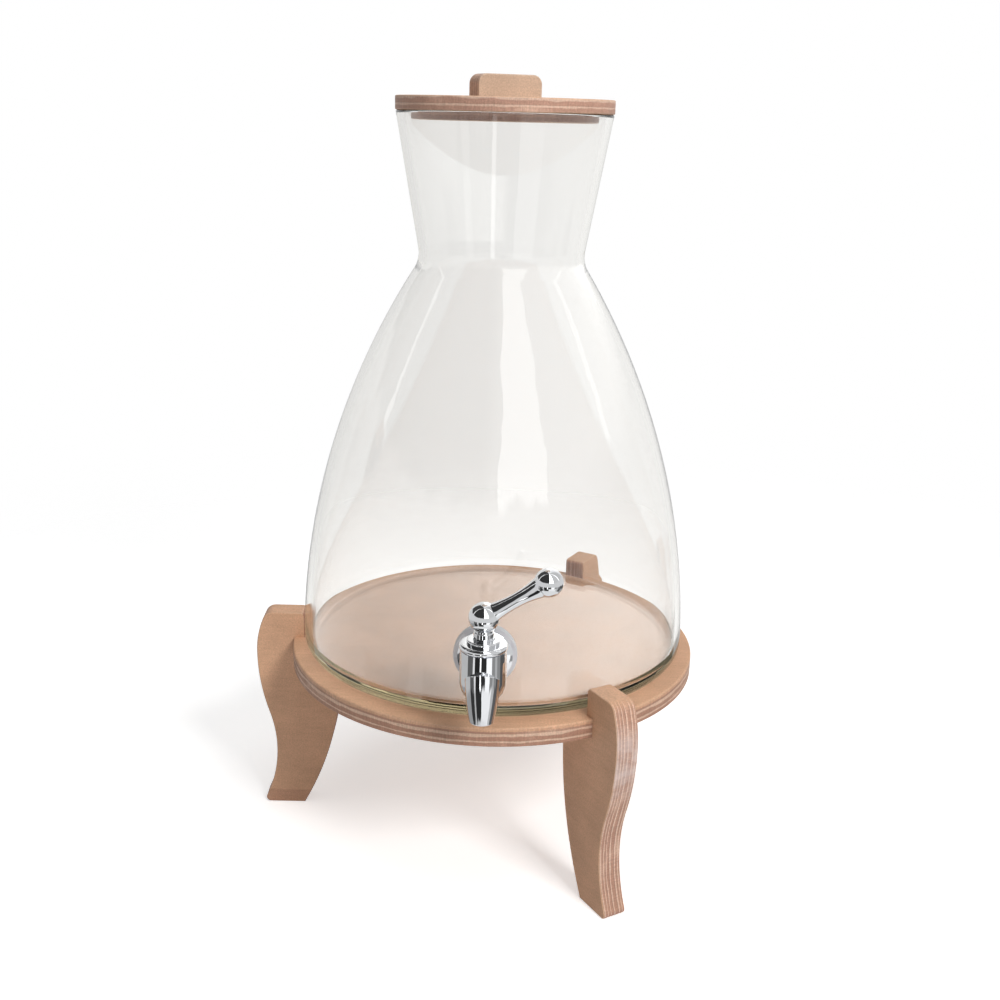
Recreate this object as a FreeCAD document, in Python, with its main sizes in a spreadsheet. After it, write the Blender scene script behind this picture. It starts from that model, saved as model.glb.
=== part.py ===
"""Glass dispenser with a plywood lid, a quarter-turn tap and a three-legged plywood stand.

The origin is on the vessel's axis at floor level. +Z is up and the tap faces -Y.
Lengths are in millimetres and angles in degrees.
"""

import FreeCAD, Part
import math
import os
import Sketcher
from types import SimpleNamespace

SIZES = {
    # stand disc and the laps that its legs sit in
    "disc_top": 121.4,  # height of the disc's upper face
    "disc_thick": 12.0,
    "disc_margin": 6.9,  # disc rim beyond the legs' inner faces, the depth of each lap
    "disc_ease": 1.0,
    "lap_slip": 0.1,  # clearance on each face of a leg in its lap
    "stand_turn": 2.0,  # the vessel stands loose, so the stand is turned a little under it
    # legs, all three cut to one outline
    "leg_thick": 15.0,
    "leg_rise": 17.0,  # leg above the disc, where it keeps the glass in place
    "leg_shelf": 23.6,  # ledge under the disc
    "shelf_depth": 10.5,  # straight drop below the ledge
    "hold_gap": 0.5,  # clearance between the leg and the glass
    "leg_belly": 31.4,  # depth from the inner face to the fullest point outside
    "belly_drop": 10.5,  # fullest point below the disc's upper face
    "crown_curve": 60.0,  # outer curve above the fullest point
    "waist_draw": 11.5,  # how far the ankle is drawn in from the fullest point
    "waist_height": 40.0,
    "waist_curve": 85.0,  # hollow curve through the ankle
    "foot_width": 28.0,
    "toe_round": 3.0,
    "leg_top_round": 7.0,
    "leg_lip_round": 2.5,
    "leg_ease": 0.8,
    # glass vessel, heights measured from its underside
    "glass_radius": 122.6,
    "glass_sweep": 450.0,  # one long arc from the heel to the throat
    "throat_height": 246.4,
    "glass_height": 332.0,
    "mouth_radius": 64.0,
    "wall": 4.0,
    "base_thick": 7.0,
    "heel_round": 9.0,
    "inner_heel": 6.0,
    "rim_round": 1.2,
    "tap_height": 41.2,
    "hole_slip": 0.5,  # clearance round the tap's shank
    "seat_gap": 0.05,  # between the glass and the seals that bear on it
    # lid
    "lid_overhang": 0.2,
    "lid_thick": 8.0,
    "lid_ease": 0.8,
    "lid_turn": 25.0,
    "plug_play": 5.0,  # clearance between the locating disc and the mouth
    "plug_thick": 5.0,
    "handle_length": 40.0,
    "handle_thick": 15.0,
    "handle_height": 13.0,
    "handle_round": 5.5,
    "screw_pitch": 22.0,
    "screw_radius": 1.75,
    "screw_length": 20.0,
    "screw_head_radius": 3.5,
    "screw_head_depth": 2.0,
    "screw_slip": 0.05,
    "recess_arm": 1.9,
    "recess_width": 0.9,
    "recess_depth": 1.2,
    # tap body, measured from where the stem's axis crosses the shank's axis
    "tap_reach": 28.2,  # glass wall to the stem's axis
    "barrel_radius": 12.9,
    "barrel_top_radius": 12.6,
    "barrel_rise": 15.5,
    "barrel_belly": 2.0,  # widest point below the shank's axis
    "barrel_drop": 13.5,
    "bowl_radius": 7.5,
    "neck_radius": 7.5,
    "flange_radius": 15.5,
    "flange_thick": 3.0,
    "flange_ease": 0.7,
    "shank_radius": 7.8,
    "shank_tail": 3.0,  # shank beyond its nut
    "shank_bore": 4.5,
    "thread_pitch": 1.8,
    "thread_depth": 0.6,
    "spout_ahead": 5.8,
    "spout_top": 7.0,
    "spout_slant": 37.0,
    "spout_top_radius": 9.3,
    "spout_tip_radius": 6.4,
    "spout_drop": 24.6,
    "spout_bore": 4.8,
    "spout_lip": 0.6,
    "chamber_radius": 8.0,
    "chamber_drop": 11.0,
    "seat_radius": 10.0,
    "seat_rise": 9.0,
    # bonnet that closes the top of the tap body
    "bonnet_radius": 13.2,
    "bonnet_thick": 3.8,
    "bonnet_ease": 1.2,
    "boss_radius": 9.2,
    "boss_rise": 2.2,
    "bonnet_slip": 0.1,
    "spigot_depth": 3.6,
    # valve plug and its seals
    "valve_slip": 0.1,
    "valve_drop": 8.5,
    "shoulder_thick": 1.9,
    "port_radius": 5.0,
    "window_radius": 4.0,
    "port_rise": 4.0,
    "socket_width": 6.1,
    "socket_depth": 6.0,
    "ring_section": 1.6,
    "ring_height": 6.4,
    "ring_gap": 0.04,
    "groove_play": 0.2,
    "slip_washer_thick": 0.8,
    # lever
    "stem_radius": 5.6,
    "collar_rise": 25.6,  # top of the stem's collar, above the bonnet
    "collar_ease": 0.4,
    "neck_waist": 5.0,
    "tenon_slip": 0.05,
    "ball_rise": 35.4,
    "ball_radius": 7.5,
    "lever_length": 38.7,
    "lever_tilt": 29.6,
    "rod_radius": 4.4,
    "rod_end_radius": 5.0,
    "rod_hollow": 110.0,
    "knob_radius": 7.7,
    # seals and nut that clamp the tap to the glass
    "gasket_radius": 18.0,
    "gasket_thick": 2.5,
    "inner_gasket_radius": 14.0,
    "inner_gasket_thick": 3.2,
    "washer_radius": 13.5,
    "washer_thick": 1.5,
    "nut_flats": 23.0,
    "nut_thick": 7.0,
    "nut_slip": 0.05,
}

LEGS = ("leg_left", "leg_right", "leg_rear")  # evenly spread, anticlockwise from the left one
FULL_TURN = 360
HALF_TURN = 180
THREAD_TURNS = 7
THROUGH = 4  # a cut on both sides of its plane is this many times as long as what it goes through

doc = FreeCAD.newDocument("dispenser")
sheet = doc.addObject("Spreadsheet::Sheet", "sizes")
for row, (name, number) in enumerate(SIZES.items(), start=1):
    sheet.set(f"A{row}", name)
    sheet.set(f"B{row}", str(number))
    sheet.setAlias(f"B{row}", name)
doc.recompute()


class Size:
    """A length together with the expression that works it out from the sheet."""

    def __init__(self, value, text):
        self.value = value
        self.text = text

    def _joined(self, other, sign, value):
        return Size(value, f"({self.text} {sign} {as_size(other).text})")

    def __add__(self, other):
        return self._joined(other, "+", self.value + as_size(other).value)

    def __radd__(self, other):
        return as_size(other) + self

    def __sub__(self, other):
        return self._joined(other, "-", self.value - as_size(other).value)

    def __rsub__(self, other):
        return as_size(other) - self

    def __mul__(self, other):
        return self._joined(other, "*", self.value * as_size(other).value)

    def __truediv__(self, other):
        return self._joined(other, "/", self.value / as_size(other).value)

    def __neg__(self):
        return Size(-self.value, f"(-{self.text})")


class Bend:
    """A round stretch between two corners of an outline, less than a half circle."""

    def __init__(self, radius, left):
        self.radius = radius
        self.left = left


def as_size(number):
    """Return a Size for a plain number, or the Size itself."""
    return number if isinstance(number, Size) else Size(float(number), repr(float(number)))


def root(size):
    """Return the square root of a Size."""
    return Size(math.sqrt(size.value), f"sqrt({size.text})")


def tangent(angle):
    """Return the tangent of an angle held in degrees."""
    return Size(math.tan(math.radians(angle.value)), f"tan({angle.text} * 1 deg)")


def square(size):
    """Return the square of a Size."""
    return size * size


def left_bend(radius):
    """Return a bend that turns left on the way round the outline."""
    return Bend(as_size(radius), True)


def right_bend(radius):
    """Return a bend that turns right on the way round the outline."""
    return Bend(as_size(radius), False)


s = SimpleNamespace(**{name: Size(number, f"sizes.{name}") for name, number in SIZES.items()})

# Places that several pieces share
hold_radius = s.glass_radius + s.hold_gap
disc_radius = hold_radius + s.disc_margin
disc_bottom = s.disc_top - s.disc_thick
rim_top = s.disc_top + s.glass_height
tap_level = s.disc_top + s.tap_height
glass_at_tap = s.glass_radius - s.glass_sweep + root(square(s.glass_sweep) - square(s.tap_height))
tap_axis = glass_at_tap + s.tap_reach
gasket_face = s.tap_reach - s.gasket_thick
inner_wall = s.tap_reach + s.wall
washer_face = inner_wall + s.inner_gasket_thick
nut_face = washer_face + s.washer_thick
shank_end = nut_face + s.nut_thick + s.shank_tail
valve_radius = s.chamber_radius - s.valve_slip
shoulder_base = s.seat_rise + s.valve_slip
valve_top = shoulder_base + s.shoulder_thick
lid_radius = s.mouth_radius + s.lid_overhang
plug_radius = s.mouth_radius - s.wall - s.plug_play


def set_size(item, path, size):
    """Bind a property of an object to the sheet."""
    item.setExpression(path, as_size(size).text)


def new_body(label):
    """Return an empty body named after its piece."""
    body = doc.addObject("PartDesign::Body", label)
    body.Label = label
    return body


def origin_feature(body, role):
    """Return one of a body's own origin planes or axes."""
    return next(item for item in body.Origin.OriginFeatures if item.Role == role)


def new_sketch(body, role, name, shift=(0, 0, 0), turn=None):
    """Return a sketch on one of the body's origin planes, shifted and turned in that plane's axes."""
    sketch = body.newObject("Sketcher::SketchObject", f"{body.Name}_{name}")
    sketch.AttachmentSupport = [(origin_feature(body, role), "")]
    sketch.MapMode = "FlatFace"
    if turn is not None:
        spin = FreeCAD.Rotation(FreeCAD.Vector(0, 0, 1), turn.value)
        sketch.AttachmentOffset = FreeCAD.Placement(FreeCAD.Vector(), spin)
        set_size(sketch, "AttachmentOffset.Rotation.Angle", turn)
    for axis, distance in zip("xyz", shift):
        set_size(sketch, f"AttachmentOffset.Base.{axis}", distance)
    return sketch


def bind(sketch, kind, size, *where):
    """Add a constraint to a sketch and bind its value to the sheet."""
    index = sketch.addConstraint(Sketcher.Constraint(kind, *where, size.value))
    set_size(sketch, f"Constraints[{index}]", size)


def locate(sketch, geometry, point, corner):
    """Hold one point of a sketch at its two distances from the sketch's origin."""
    for kind, axis, size in (("DistanceX", -2, corner[0]), ("DistanceY", -1, corner[1])):
        size = as_size(size)
        if size.text == "0.0":
            sketch.addConstraint(Sketcher.Constraint("PointOnObject", geometry, point, axis))
        else:
            bind(sketch, kind, size, -1, 1, geometry, point)


def arc_between(start, end, bend):
    """Return the arc of a bend from start to end, which a sketch keeps anticlockwise."""
    chord = end - start
    middle = (start + end) * 0.5
    rise = math.sqrt(max(bend.radius.value ** 2 - (chord.Length / 2) ** 2, 0))
    side = FreeCAD.Vector(-chord.y, chord.x, 0).normalize() * (rise if bend.left else -rise)
    centre = middle + side
    first, last = (start, end) if bend.left else (end, start)
    angles = [math.atan2(point.y - centre.y, point.x - centre.x) for point in (first, last)]
    circle = Part.Circle(centre, FreeCAD.Vector(0, 0, 1), bend.radius.value)
    return Part.ArcOfCircle(circle, *angles)


def draw(sketch, outline):
    """Draw a closed outline of corners, with a Bend between two corners that an arc joins."""
    steps = []
    for item in outline:
        if isinstance(item, Bend):
            steps[-1][1] = item
        else:
            steps.append([item, None])
    ends = []
    for (corner, bend), (following, _) in zip(steps, steps[1:] + steps[:1]):
        start, end = (FreeCAD.Vector(*(as_size(size).value for size in point), 0) for point in (corner, following))
        if bend is None:
            ends.append((sketch.addGeometry(Part.LineSegment(start, end)), 1, 2))
        else:
            order = (1, 2) if bend.left else (2, 1)
            ends.append((sketch.addGeometry(arc_between(start, end, bend)), *order))
    for (corner, bend), here, before in zip(steps, ends, ends[-1:] + ends[:-1]):
        sketch.addConstraint(Sketcher.Constraint("Coincident", before[0], before[2], here[0], here[1]))
        locate(sketch, here[0], here[1], corner)
        if bend is not None:
            bind(sketch, "Radius", bend.radius, here[0])
    return sketch


def draw_circle(sketch, centre, radius):
    """Draw a circle at a place in a sketch."""
    middle = FreeCAD.Vector(*(as_size(size).value for size in centre), 0)
    circle = sketch.addGeometry(Part.Circle(middle, FreeCAD.Vector(0, 0, 1), radius.value))
    locate(sketch, circle, 3, centre)
    bind(sketch, "Radius", radius, circle)
    return sketch


def turned(body, sketch, axis="V_Axis", cut=False):
    """Turn a sketch about one of its own axes, to add material or to cut it away."""
    kind = "Groove" if cut else "Revolution"
    feature = body.newObject(f"PartDesign::{kind}", f"{sketch.Name}_{kind.lower()}")
    feature.Profile = sketch
    feature.ReferenceAxis = (sketch, [axis])
    feature.Angle = FULL_TURN
    return feature


def pad(body, sketch, length):
    """Raise a sketch by half the length on each side of its plane."""
    feature = body.newObject("PartDesign::Pad", f"{sketch.Name}_pad")
    feature.Profile = sketch
    feature.SideType = "Symmetric"
    set_size(feature, "Length", length)
    return feature


def pocket(body, sketch, length, side="Symmetric", reverse=False):
    """Cut a sketch through the body, on both sides of its plane or on one, and see that it cuts."""
    doc.recompute()
    before = body.Shape.Volume
    feature = body.newObject("PartDesign::Pocket", f"{sketch.Name}_pocket")
    feature.Profile = sketch
    feature.SideType = side
    feature.Reversed = reverse
    set_size(feature, "Length", length)
    doc.recompute()
    if not body.Shape.Volume < before:
        raise RuntimeError(f"{feature.Name} cuts nothing")
    return feature


def ease_faces(body, feature, axis, radius):
    """Round every edge of the flat faces that look along one axis of the body."""
    doc.recompute()
    names = []
    for index, face in enumerate(feature.Shape.Faces, start=1):
        flat = isinstance(face.Surface, Part.Plane)
        if flat and abs(face.normalAt(0, 0).dot(axis)) > math.cos(math.radians(1)):
            names.append(f"Face{index}")
    fillet = body.newObject("PartDesign::Fillet", f"{body.Name}_ease")
    fillet.Base = (feature, names)
    set_size(fillet, "Radius", radius)
    return fillet


def place(item, x=0, y=0, z=0, turn=None):
    """Put a piece in the shared frame, turned about the vertical."""
    if turn is not None:
        spin = FreeCAD.Rotation(FreeCAD.Vector(0, 0, 1), turn.value)
        item.Placement = FreeCAD.Placement(FreeCAD.Vector(), spin)
        set_size(item, "Placement.Rotation.Angle", turn)
    for axis, distance in zip("xyz", (x, y, z)):
        set_size(item, f"Placement.Base.{axis}", distance)
    return item


def place_on_tap(item):
    """Put a piece drawn about the tap's own axes in the shared frame."""
    return place(item, y=-tap_axis, z=tap_level)


def eased_slab(radius, bottom, top, ease):
    """Return half the section of a round slab with eased rims."""
    return [
        (0, bottom),
        (radius - ease, bottom),
        left_bend(ease),
        (radius, bottom + ease),
        (radius, top - ease),
        left_bend(ease),
        (radius - ease, top),
        (0, top),
    ]


def ring_section(inner, outer, bottom, top):
    """Return half the section of a flat ring."""
    return [(inner, bottom), (outer, bottom), (outer, top), (inner, top)]


def stand_disc():
    """Round plywood disc with a lap cut in its rim for each leg."""
    body = new_body("stand_disc")
    section = new_sketch(body, "XZ_Plane", "section")
    turned(body, draw(section, eased_slab(disc_radius, disc_bottom, s.disc_top, s.disc_ease)))
    half_width = s.leg_thick / 2 + s.lap_slip
    lap_end = hold_radius - s.lap_slip
    beyond = disc_radius + s.disc_margin
    lap = new_sketch(body, "XY_Plane", "lap", shift=(0, 0, s.disc_top))
    draw(lap, [(-beyond, -half_width), (-lap_end, -half_width), (-lap_end, half_width), (-beyond, half_width)])
    cut = pocket(body, lap, s.disc_thick * THROUGH)
    pattern = body.newObject("PartDesign::PolarPattern", "stand_disc_laps")
    pattern.Originals = [cut]
    pattern.Axis = (origin_feature(body, "Z_Axis"), [""])
    pattern.Angle = FULL_TURN
    pattern.Occurrences = len(LEGS)
    body.Tip = pattern
    return place(body, turn=s.stand_turn)


def leg_outline():
    """Return the outline of a leg, as distance from the axis and height above the floor."""
    leg_top = s.disc_top + s.leg_rise
    belly_radius = hold_radius + s.leg_belly
    belly_height = s.disc_top - s.belly_drop
    waist_radius = belly_radius - s.waist_draw
    # rounded corner between the crown's arc and the flat top
    crown_centre = belly_radius - s.crown_curve
    inside = s.crown_curve - s.leg_top_round
    corner_rise = leg_top - s.leg_top_round - belly_height
    corner_run = root(square(inside) - square(corner_rise))
    outward = s.crown_curve / inside
    # arc from the belly to the ankle's hollow, tangent to both
    hollow_centre = waist_radius + s.waist_curve
    hollow_run = hollow_centre - belly_radius
    hollow_fall = belly_height - s.waist_height
    belly_curve = square(hollow_run) + square(hollow_fall) - square(s.waist_curve)
    belly_curve = belly_curve / (s.waist_draw * 2)
    share = belly_curve / (belly_curve + s.waist_curve)
    turn_radius = belly_radius - belly_curve + (hollow_run + belly_curve) * share
    turn_height = belly_height - hollow_fall * share
    # rounded toe between the hollow and the floor
    toe_reach = s.waist_curve + s.toe_round
    toe_fall = s.waist_height - s.toe_round
    toe_run = root(square(toe_reach) - square(toe_fall))
    toe_share = s.waist_curve / toe_reach
    toe_end = hollow_centre - root(square(s.waist_curve) - square(s.waist_height))
    # inner edge, upright under the disc and swept out to the foot
    shelf_radius = hold_radius - s.leg_shelf
    sweep_top = disc_bottom - s.shelf_depth
    foot_inner = toe_end - s.foot_width
    sweep_run = foot_inner - shelf_radius
    inner_sweep = (square(sweep_run) + square(sweep_top)) / (sweep_run * 2)
    return [
        (hold_radius, disc_bottom),
        (hold_radius, leg_top - s.leg_lip_round),
        right_bend(s.leg_lip_round),
        (hold_radius + s.leg_lip_round, leg_top),
        (crown_centre + corner_run, leg_top),
        right_bend(s.leg_top_round),
        (crown_centre + corner_run * outward, belly_height + corner_rise * outward),
        right_bend(s.crown_curve),
        (belly_radius, belly_height),
        right_bend(belly_curve),
        (turn_radius, turn_height),
        left_bend(s.waist_curve),
        (hollow_centre - toe_run * toe_share, s.waist_height - toe_fall * toe_share),
        right_bend(s.toe_round),
        (hollow_centre - toe_run, 0),
        (foot_inner, 0),
        right_bend(inner_sweep),
        (shelf_radius, sweep_top),
        (shelf_radius, disc_bottom),
    ]


def leg(label, angle):
    """One curved plywood leg, lapped into the disc's rim and ledged under it."""
    body = new_body(label)
    blank = pad(body, draw(new_sketch(body, "XZ_Plane", "outline"), leg_outline()), s.leg_thick)
    ease_faces(body, blank, FreeCAD.Vector(0, 1, 0), s.leg_ease)
    return place(body, turn=s.stand_turn + angle)


def glass_radius_at(height):
    """Return the outer radius of the glass at a height above its underside, below the throat."""
    return s.glass_radius - s.glass_sweep + root(square(s.glass_sweep) - square(height))


def outer_glass(grow):
    """Return the outer side of the glass from the underside's centre to the rim, moved out by grow."""
    heel_radius = glass_radius_at(s.heel_round)
    throat_radius = glass_radius_at(s.throat_height)
    return [
        (0, s.disc_top),
        (heel_radius - s.heel_round + grow, s.disc_top),
        left_bend(s.heel_round),
        (heel_radius + grow, s.disc_top + s.heel_round),
        left_bend(s.glass_sweep),
        (throat_radius + grow, s.disc_top + s.throat_height),
        (s.mouth_radius + grow, rim_top - s.rim_round),
    ]


def inner_glass(shrink):
    """Return the inner side of the glass from the rim to the floor's centre, moved in by shrink."""
    inset = s.wall + shrink
    floor = s.disc_top + s.base_thick
    heel_top = s.base_thick + s.inner_heel
    heel_radius = glass_radius_at(heel_top) - inset
    return [
        (s.mouth_radius - inset, rim_top - s.rim_round),
        (glass_radius_at(s.throat_height) - inset, s.disc_top + s.throat_height),
        right_bend(s.glass_sweep),
        (heel_radius, s.disc_top + heel_top),
        right_bend(s.inner_heel),
        (heel_radius - s.inner_heel, floor),
        (0, floor),
    ]


def glass_vessel():
    """Bell-shaped glass with a flared neck and a hole for the tap."""
    body = new_body("glass_vessel")
    rim = [
        left_bend(s.rim_round),
        (s.mouth_radius - s.rim_round, rim_top),
        (s.mouth_radius - s.wall + s.rim_round, rim_top),
        left_bend(s.rim_round),
    ]
    section = new_sketch(body, "XZ_Plane", "section")
    turned(body, draw(section, outer_glass(0) + rim + inner_glass(0)))
    hole = new_sketch(body, "XZ_Plane", "hole", shift=(0, 0, glass_at_tap))
    draw_circle(hole, (0, tap_level), s.shank_radius + s.hole_slip)
    pocket(body, hole, s.wall * THROUGH)
    return body


def glass_block(label, section):
    """Solid of the vessel's outside or inside, which trims the seals that bear on it."""
    body = new_body(label)
    turned(body, draw(new_sketch(body, "XZ_Plane", "section"), section))
    return body


def lid_disc():
    """Round plywood lid that rests on the rim."""
    body = new_body("lid_disc")
    turned(body, draw(new_sketch(body, "XZ_Plane", "section"), eased_slab(lid_radius, 0, s.lid_thick, s.lid_ease)))
    pocket(body, screw_holes(body, 0, s.screw_radius + s.screw_slip), s.lid_thick * THROUGH)
    return place(body, z=rim_top, turn=s.lid_turn)


def screw_holes(body, level, radius):
    """Return a sketch of the two screw holes at a level of the lid."""
    sketch = new_sketch(body, "XY_Plane", "holes", shift=(0, 0, level))
    for side in (-1, 1):
        draw_circle(sketch, (s.screw_pitch * side / 2, 0), radius)
    return sketch


def lid_plug():
    """Smaller plywood disc under the lid that keeps it centred in the mouth, countersunk for the screws."""
    body = new_body("lid_plug")
    section = eased_slab(plug_radius, -s.plug_thick, 0, s.lid_ease)
    turned(body, draw(new_sketch(body, "XZ_Plane", "section"), section))
    pocket(body, screw_holes(body, 0, s.screw_radius + s.screw_slip), s.plug_thick * THROUGH)
    middle = s.screw_pitch / 2
    sink_top = -s.plug_thick + s.screw_head_depth + s.screw_slip
    for side in (-1, 1):
        name = "sink_left" if side < 0 else "sink_right"
        sink = new_sketch(body, "XZ_Plane", name, shift=(middle * side, 0, 0))
        cone = [
            (0, -s.plug_thick),
            (s.screw_head_radius + s.screw_slip, -s.plug_thick),
            (s.screw_radius + s.screw_slip, sink_top),
            (0, sink_top),
        ]
        turned(body, draw(sink, cone), cut=True)
    return place(body, z=rim_top, turn=s.lid_turn)


def lid_handle():
    """Upright plywood block with rounded shoulders, screwed on from under the lid."""
    body = new_body("lid_handle")
    half = s.handle_length / 2
    top = s.lid_thick + s.handle_height
    outline = [
        (-half, s.lid_thick),
        (half, s.lid_thick),
        (half, top - s.handle_round),
        left_bend(s.handle_round),
        (half - s.handle_round, top),
        (-half + s.handle_round, top),
        left_bend(s.handle_round),
        (-half, top - s.handle_round),
    ]
    block = pad(body, draw(new_sketch(body, "XZ_Plane", "outline"), outline), s.handle_thick)
    ease_faces(body, block, FreeCAD.Vector(0, 1, 0), s.lid_ease)
    depth = s.screw_length - s.plug_thick - s.lid_thick + s.screw_slip
    pocket(body, screw_holes(body, s.lid_thick, s.screw_radius + s.screw_slip), depth * 2)
    return place(body, z=rim_top, turn=s.lid_turn)


def lid_screws():
    """Two countersunk screws up through the lid into the handle."""
    body = new_body("lid_screw")
    section = new_sketch(body, "XZ_Plane", "section", shift=(s.screw_pitch / 2, 0, 0))
    head = -s.plug_thick
    neck = head + s.screw_head_depth
    tip = head + s.screw_length
    profile = [
        (0, head),
        (s.screw_head_radius, head),
        (s.screw_radius, neck),
        (s.screw_radius, tip - s.screw_radius),
        (0, tip),
    ]
    turned(body, draw(section, profile))
    arm = s.recess_arm
    half = s.recess_width / 2
    cross = [(arm, half), (half, half), (half, arm), (-half, arm), (-half, half), (-arm, half)]
    cross += [(-arm, -half), (-half, -half), (-half, -arm), (half, -arm), (half, -half), (arm, -half)]
    recess = new_sketch(body, "XY_Plane", "recess", shift=(s.screw_pitch / 2, 0, head))
    pocket(body, draw(recess, cross), s.recess_depth * 2)
    other = doc.addObject("Part::Mirroring", "lid_screw_other")
    other.Source = body
    other.Normal = FreeCAD.Vector(1, 0, 0)
    group = doc.addObject("Part::Compound", "lid_screws")
    group.Links = [body, other]
    group.Label = "lid_screws"
    return place(group, z=rim_top, turn=s.lid_turn)


def tap_body():
    """Moulded tap body: spout, barrel, flange and threaded shank, with its water way cut through."""
    body = new_body("tap_body")
    tip = -s.spout_drop
    on_spout = (-s.spout_ahead, 0, 0)
    spout = [
        (0, tip),
        (s.spout_tip_radius - s.spout_lip, tip),
        left_bend(s.spout_lip),
        (s.spout_tip_radius, tip + s.spout_lip),
        (s.spout_top_radius, s.spout_top),
        (0, s.spout_top),
    ]
    turned(body, draw(new_sketch(body, "YZ_Plane", "spout", shift=on_spout), spout))
    # the spout's top slants down to the barrel from its front edge
    run = s.spout_top_radius * 2
    fall = run * tangent(s.spout_slant)
    over = s.spout_top + s.spout_lip
    wedge = [
        (-s.spout_top_radius, s.spout_top),
        (s.spout_top_radius, s.spout_top - fall),
        (run, s.spout_top - fall),
        (run, over),
        (-s.spout_top_radius, over),
    ]
    pocket(body, draw(new_sketch(body, "YZ_Plane", "slant", shift=on_spout), wedge), run * 2)
    bowl_run = s.barrel_radius - s.bowl_radius
    bowl_fall = s.barrel_drop - s.barrel_belly
    bowl_curve = (square(bowl_run) + square(bowl_fall)) / (bowl_run * 2)
    barrel = [
        (0, -s.barrel_drop),
        (s.bowl_radius, -s.barrel_drop),
        left_bend(bowl_curve),
        (s.barrel_radius, -s.barrel_belly),
        (s.barrel_top_radius, s.barrel_rise),
        (0, s.barrel_rise),
    ]
    turned(body, draw(new_sketch(body, "XZ_Plane", "barrel"), barrel))
    front = gasket_face - s.flange_thick
    shank = [
        (0, 0),
        (shank_end, 0),
        (shank_end, s.shank_radius - s.thread_depth),
        (shank_end - s.thread_depth, s.shank_radius),
        (gasket_face, s.shank_radius),
        (gasket_face, s.flange_radius),
        (front + s.flange_ease, s.flange_radius),
        left_bend(s.flange_ease),
        (front, s.flange_radius - s.flange_ease),
        (front, s.neck_radius),
        (0, s.neck_radius),
    ]
    turned(body, draw(new_sketch(body, "YZ_Plane", "shank"), shank), axis="H_Axis")
    chamber = [
        (0, -s.chamber_drop),
        (s.chamber_radius, -s.chamber_drop),
        (s.chamber_radius, s.seat_rise),
        (s.seat_radius, s.seat_rise),
        (s.seat_radius, s.barrel_rise),
        (0, s.barrel_rise),
    ]
    turned(body, draw(new_sketch(body, "XZ_Plane", "chamber"), chamber), cut=True)
    inlet = [(0, 0), (shank_end, 0), (shank_end, s.shank_bore), (0, s.shank_bore)]
    turned(body, draw(new_sketch(body, "YZ_Plane", "inlet"), inlet), axis="H_Axis", cut=True)
    outlet = [(0, tip), (s.spout_bore, tip), (s.spout_bore, -s.chamber_drop), (0, -s.chamber_drop)]
    turned(body, draw(new_sketch(body, "YZ_Plane", "outlet", shift=on_spout), outlet), cut=True)
    first = shank_end - s.thread_pitch
    vee = [
        (first - s.thread_depth, s.shank_radius),
        (first, s.shank_radius - s.thread_depth),
        (first + s.thread_depth, s.shank_radius),
    ]
    cut = turned(body, draw(new_sketch(body, "YZ_Plane", "thread"), vee), axis="H_Axis", cut=True)
    pattern = body.newObject("PartDesign::LinearPattern", "tap_body_thread_turns")
    pattern.Originals = [cut]
    pattern.Direction = (origin_feature(body, "Y_Axis"), [""])
    pattern.Reversed = True
    pattern.Occurrences = THREAD_TURNS
    set_size(pattern, "Length", s.thread_pitch * (THREAD_TURNS - 1))
    body.Tip = pattern
    return place_on_tap(body)


def tap_bonnet():
    """Cap that closes the barrel and guides the lever's stem."""
    body = new_body("tap_bonnet")
    bore = s.stem_radius + s.bonnet_slip
    top = s.barrel_rise + s.bonnet_thick
    spigot = s.seat_radius - s.bonnet_slip
    section = [
        (bore, s.barrel_rise - s.spigot_depth),
        (spigot, s.barrel_rise - s.spigot_depth),
        (spigot, s.barrel_rise),
        (s.bonnet_radius - s.bonnet_ease, s.barrel_rise),
        left_bend(s.bonnet_ease),
        (s.bonnet_radius, s.barrel_rise + s.bonnet_ease),
        (s.bonnet_radius, top - s.bonnet_ease),
        left_bend(s.bonnet_ease),
        (s.bonnet_radius - s.bonnet_ease, top),
        (s.boss_radius, top),
        (s.boss_radius, top + s.boss_rise - s.bonnet_ease),
        left_bend(s.bonnet_ease),
        (s.boss_radius - s.bonnet_ease, top + s.boss_rise),
        (bore, top + s.boss_rise),
    ]
    turned(body, draw(new_sketch(body, "XZ_Plane", "section"), section))
    return place_on_tap(body)


def valve_plug():
    """Turning plug, open below, with a window that meets the shank's bore when the tap is open."""
    body = new_body("valve_plug")
    groove_floor = s.chamber_radius - s.ring_section - s.ring_gap * 2
    half_groove = (s.ring_section + s.groove_play) / 2
    shoulder_radius = s.seat_radius - s.valve_slip
    section = [(s.port_radius, -s.valve_drop), (valve_radius, -s.valve_drop)]
    for side in (-1, 1):
        low = s.ring_height * side - half_groove
        high = s.ring_height * side + half_groove
        section += [(valve_radius, low), (groove_floor, low), (groove_floor, high), (valve_radius, high)]
    section += [
        (valve_radius, shoulder_base),
        (shoulder_radius, shoulder_base),
        (shoulder_radius, valve_top),
        (0, valve_top),
        (0, s.port_rise),
        (s.port_radius, s.port_rise),
    ]
    turned(body, draw(new_sketch(body, "XZ_Plane", "section"), section))
    half = s.socket_width / 2
    socket = new_sketch(body, "XY_Plane", "socket", shift=(0, 0, valve_top))
    pocket(body, draw(socket, [(-half, -half), (half, -half), (half, half), (-half, half)]), s.socket_depth * 2)
    window = new_sketch(body, "YZ_Plane", "window", shift=(0, 0, -valve_radius))
    pocket(body, draw_circle(window, (0, 0), s.window_radius), valve_radius)
    return place_on_tap(body)


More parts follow.
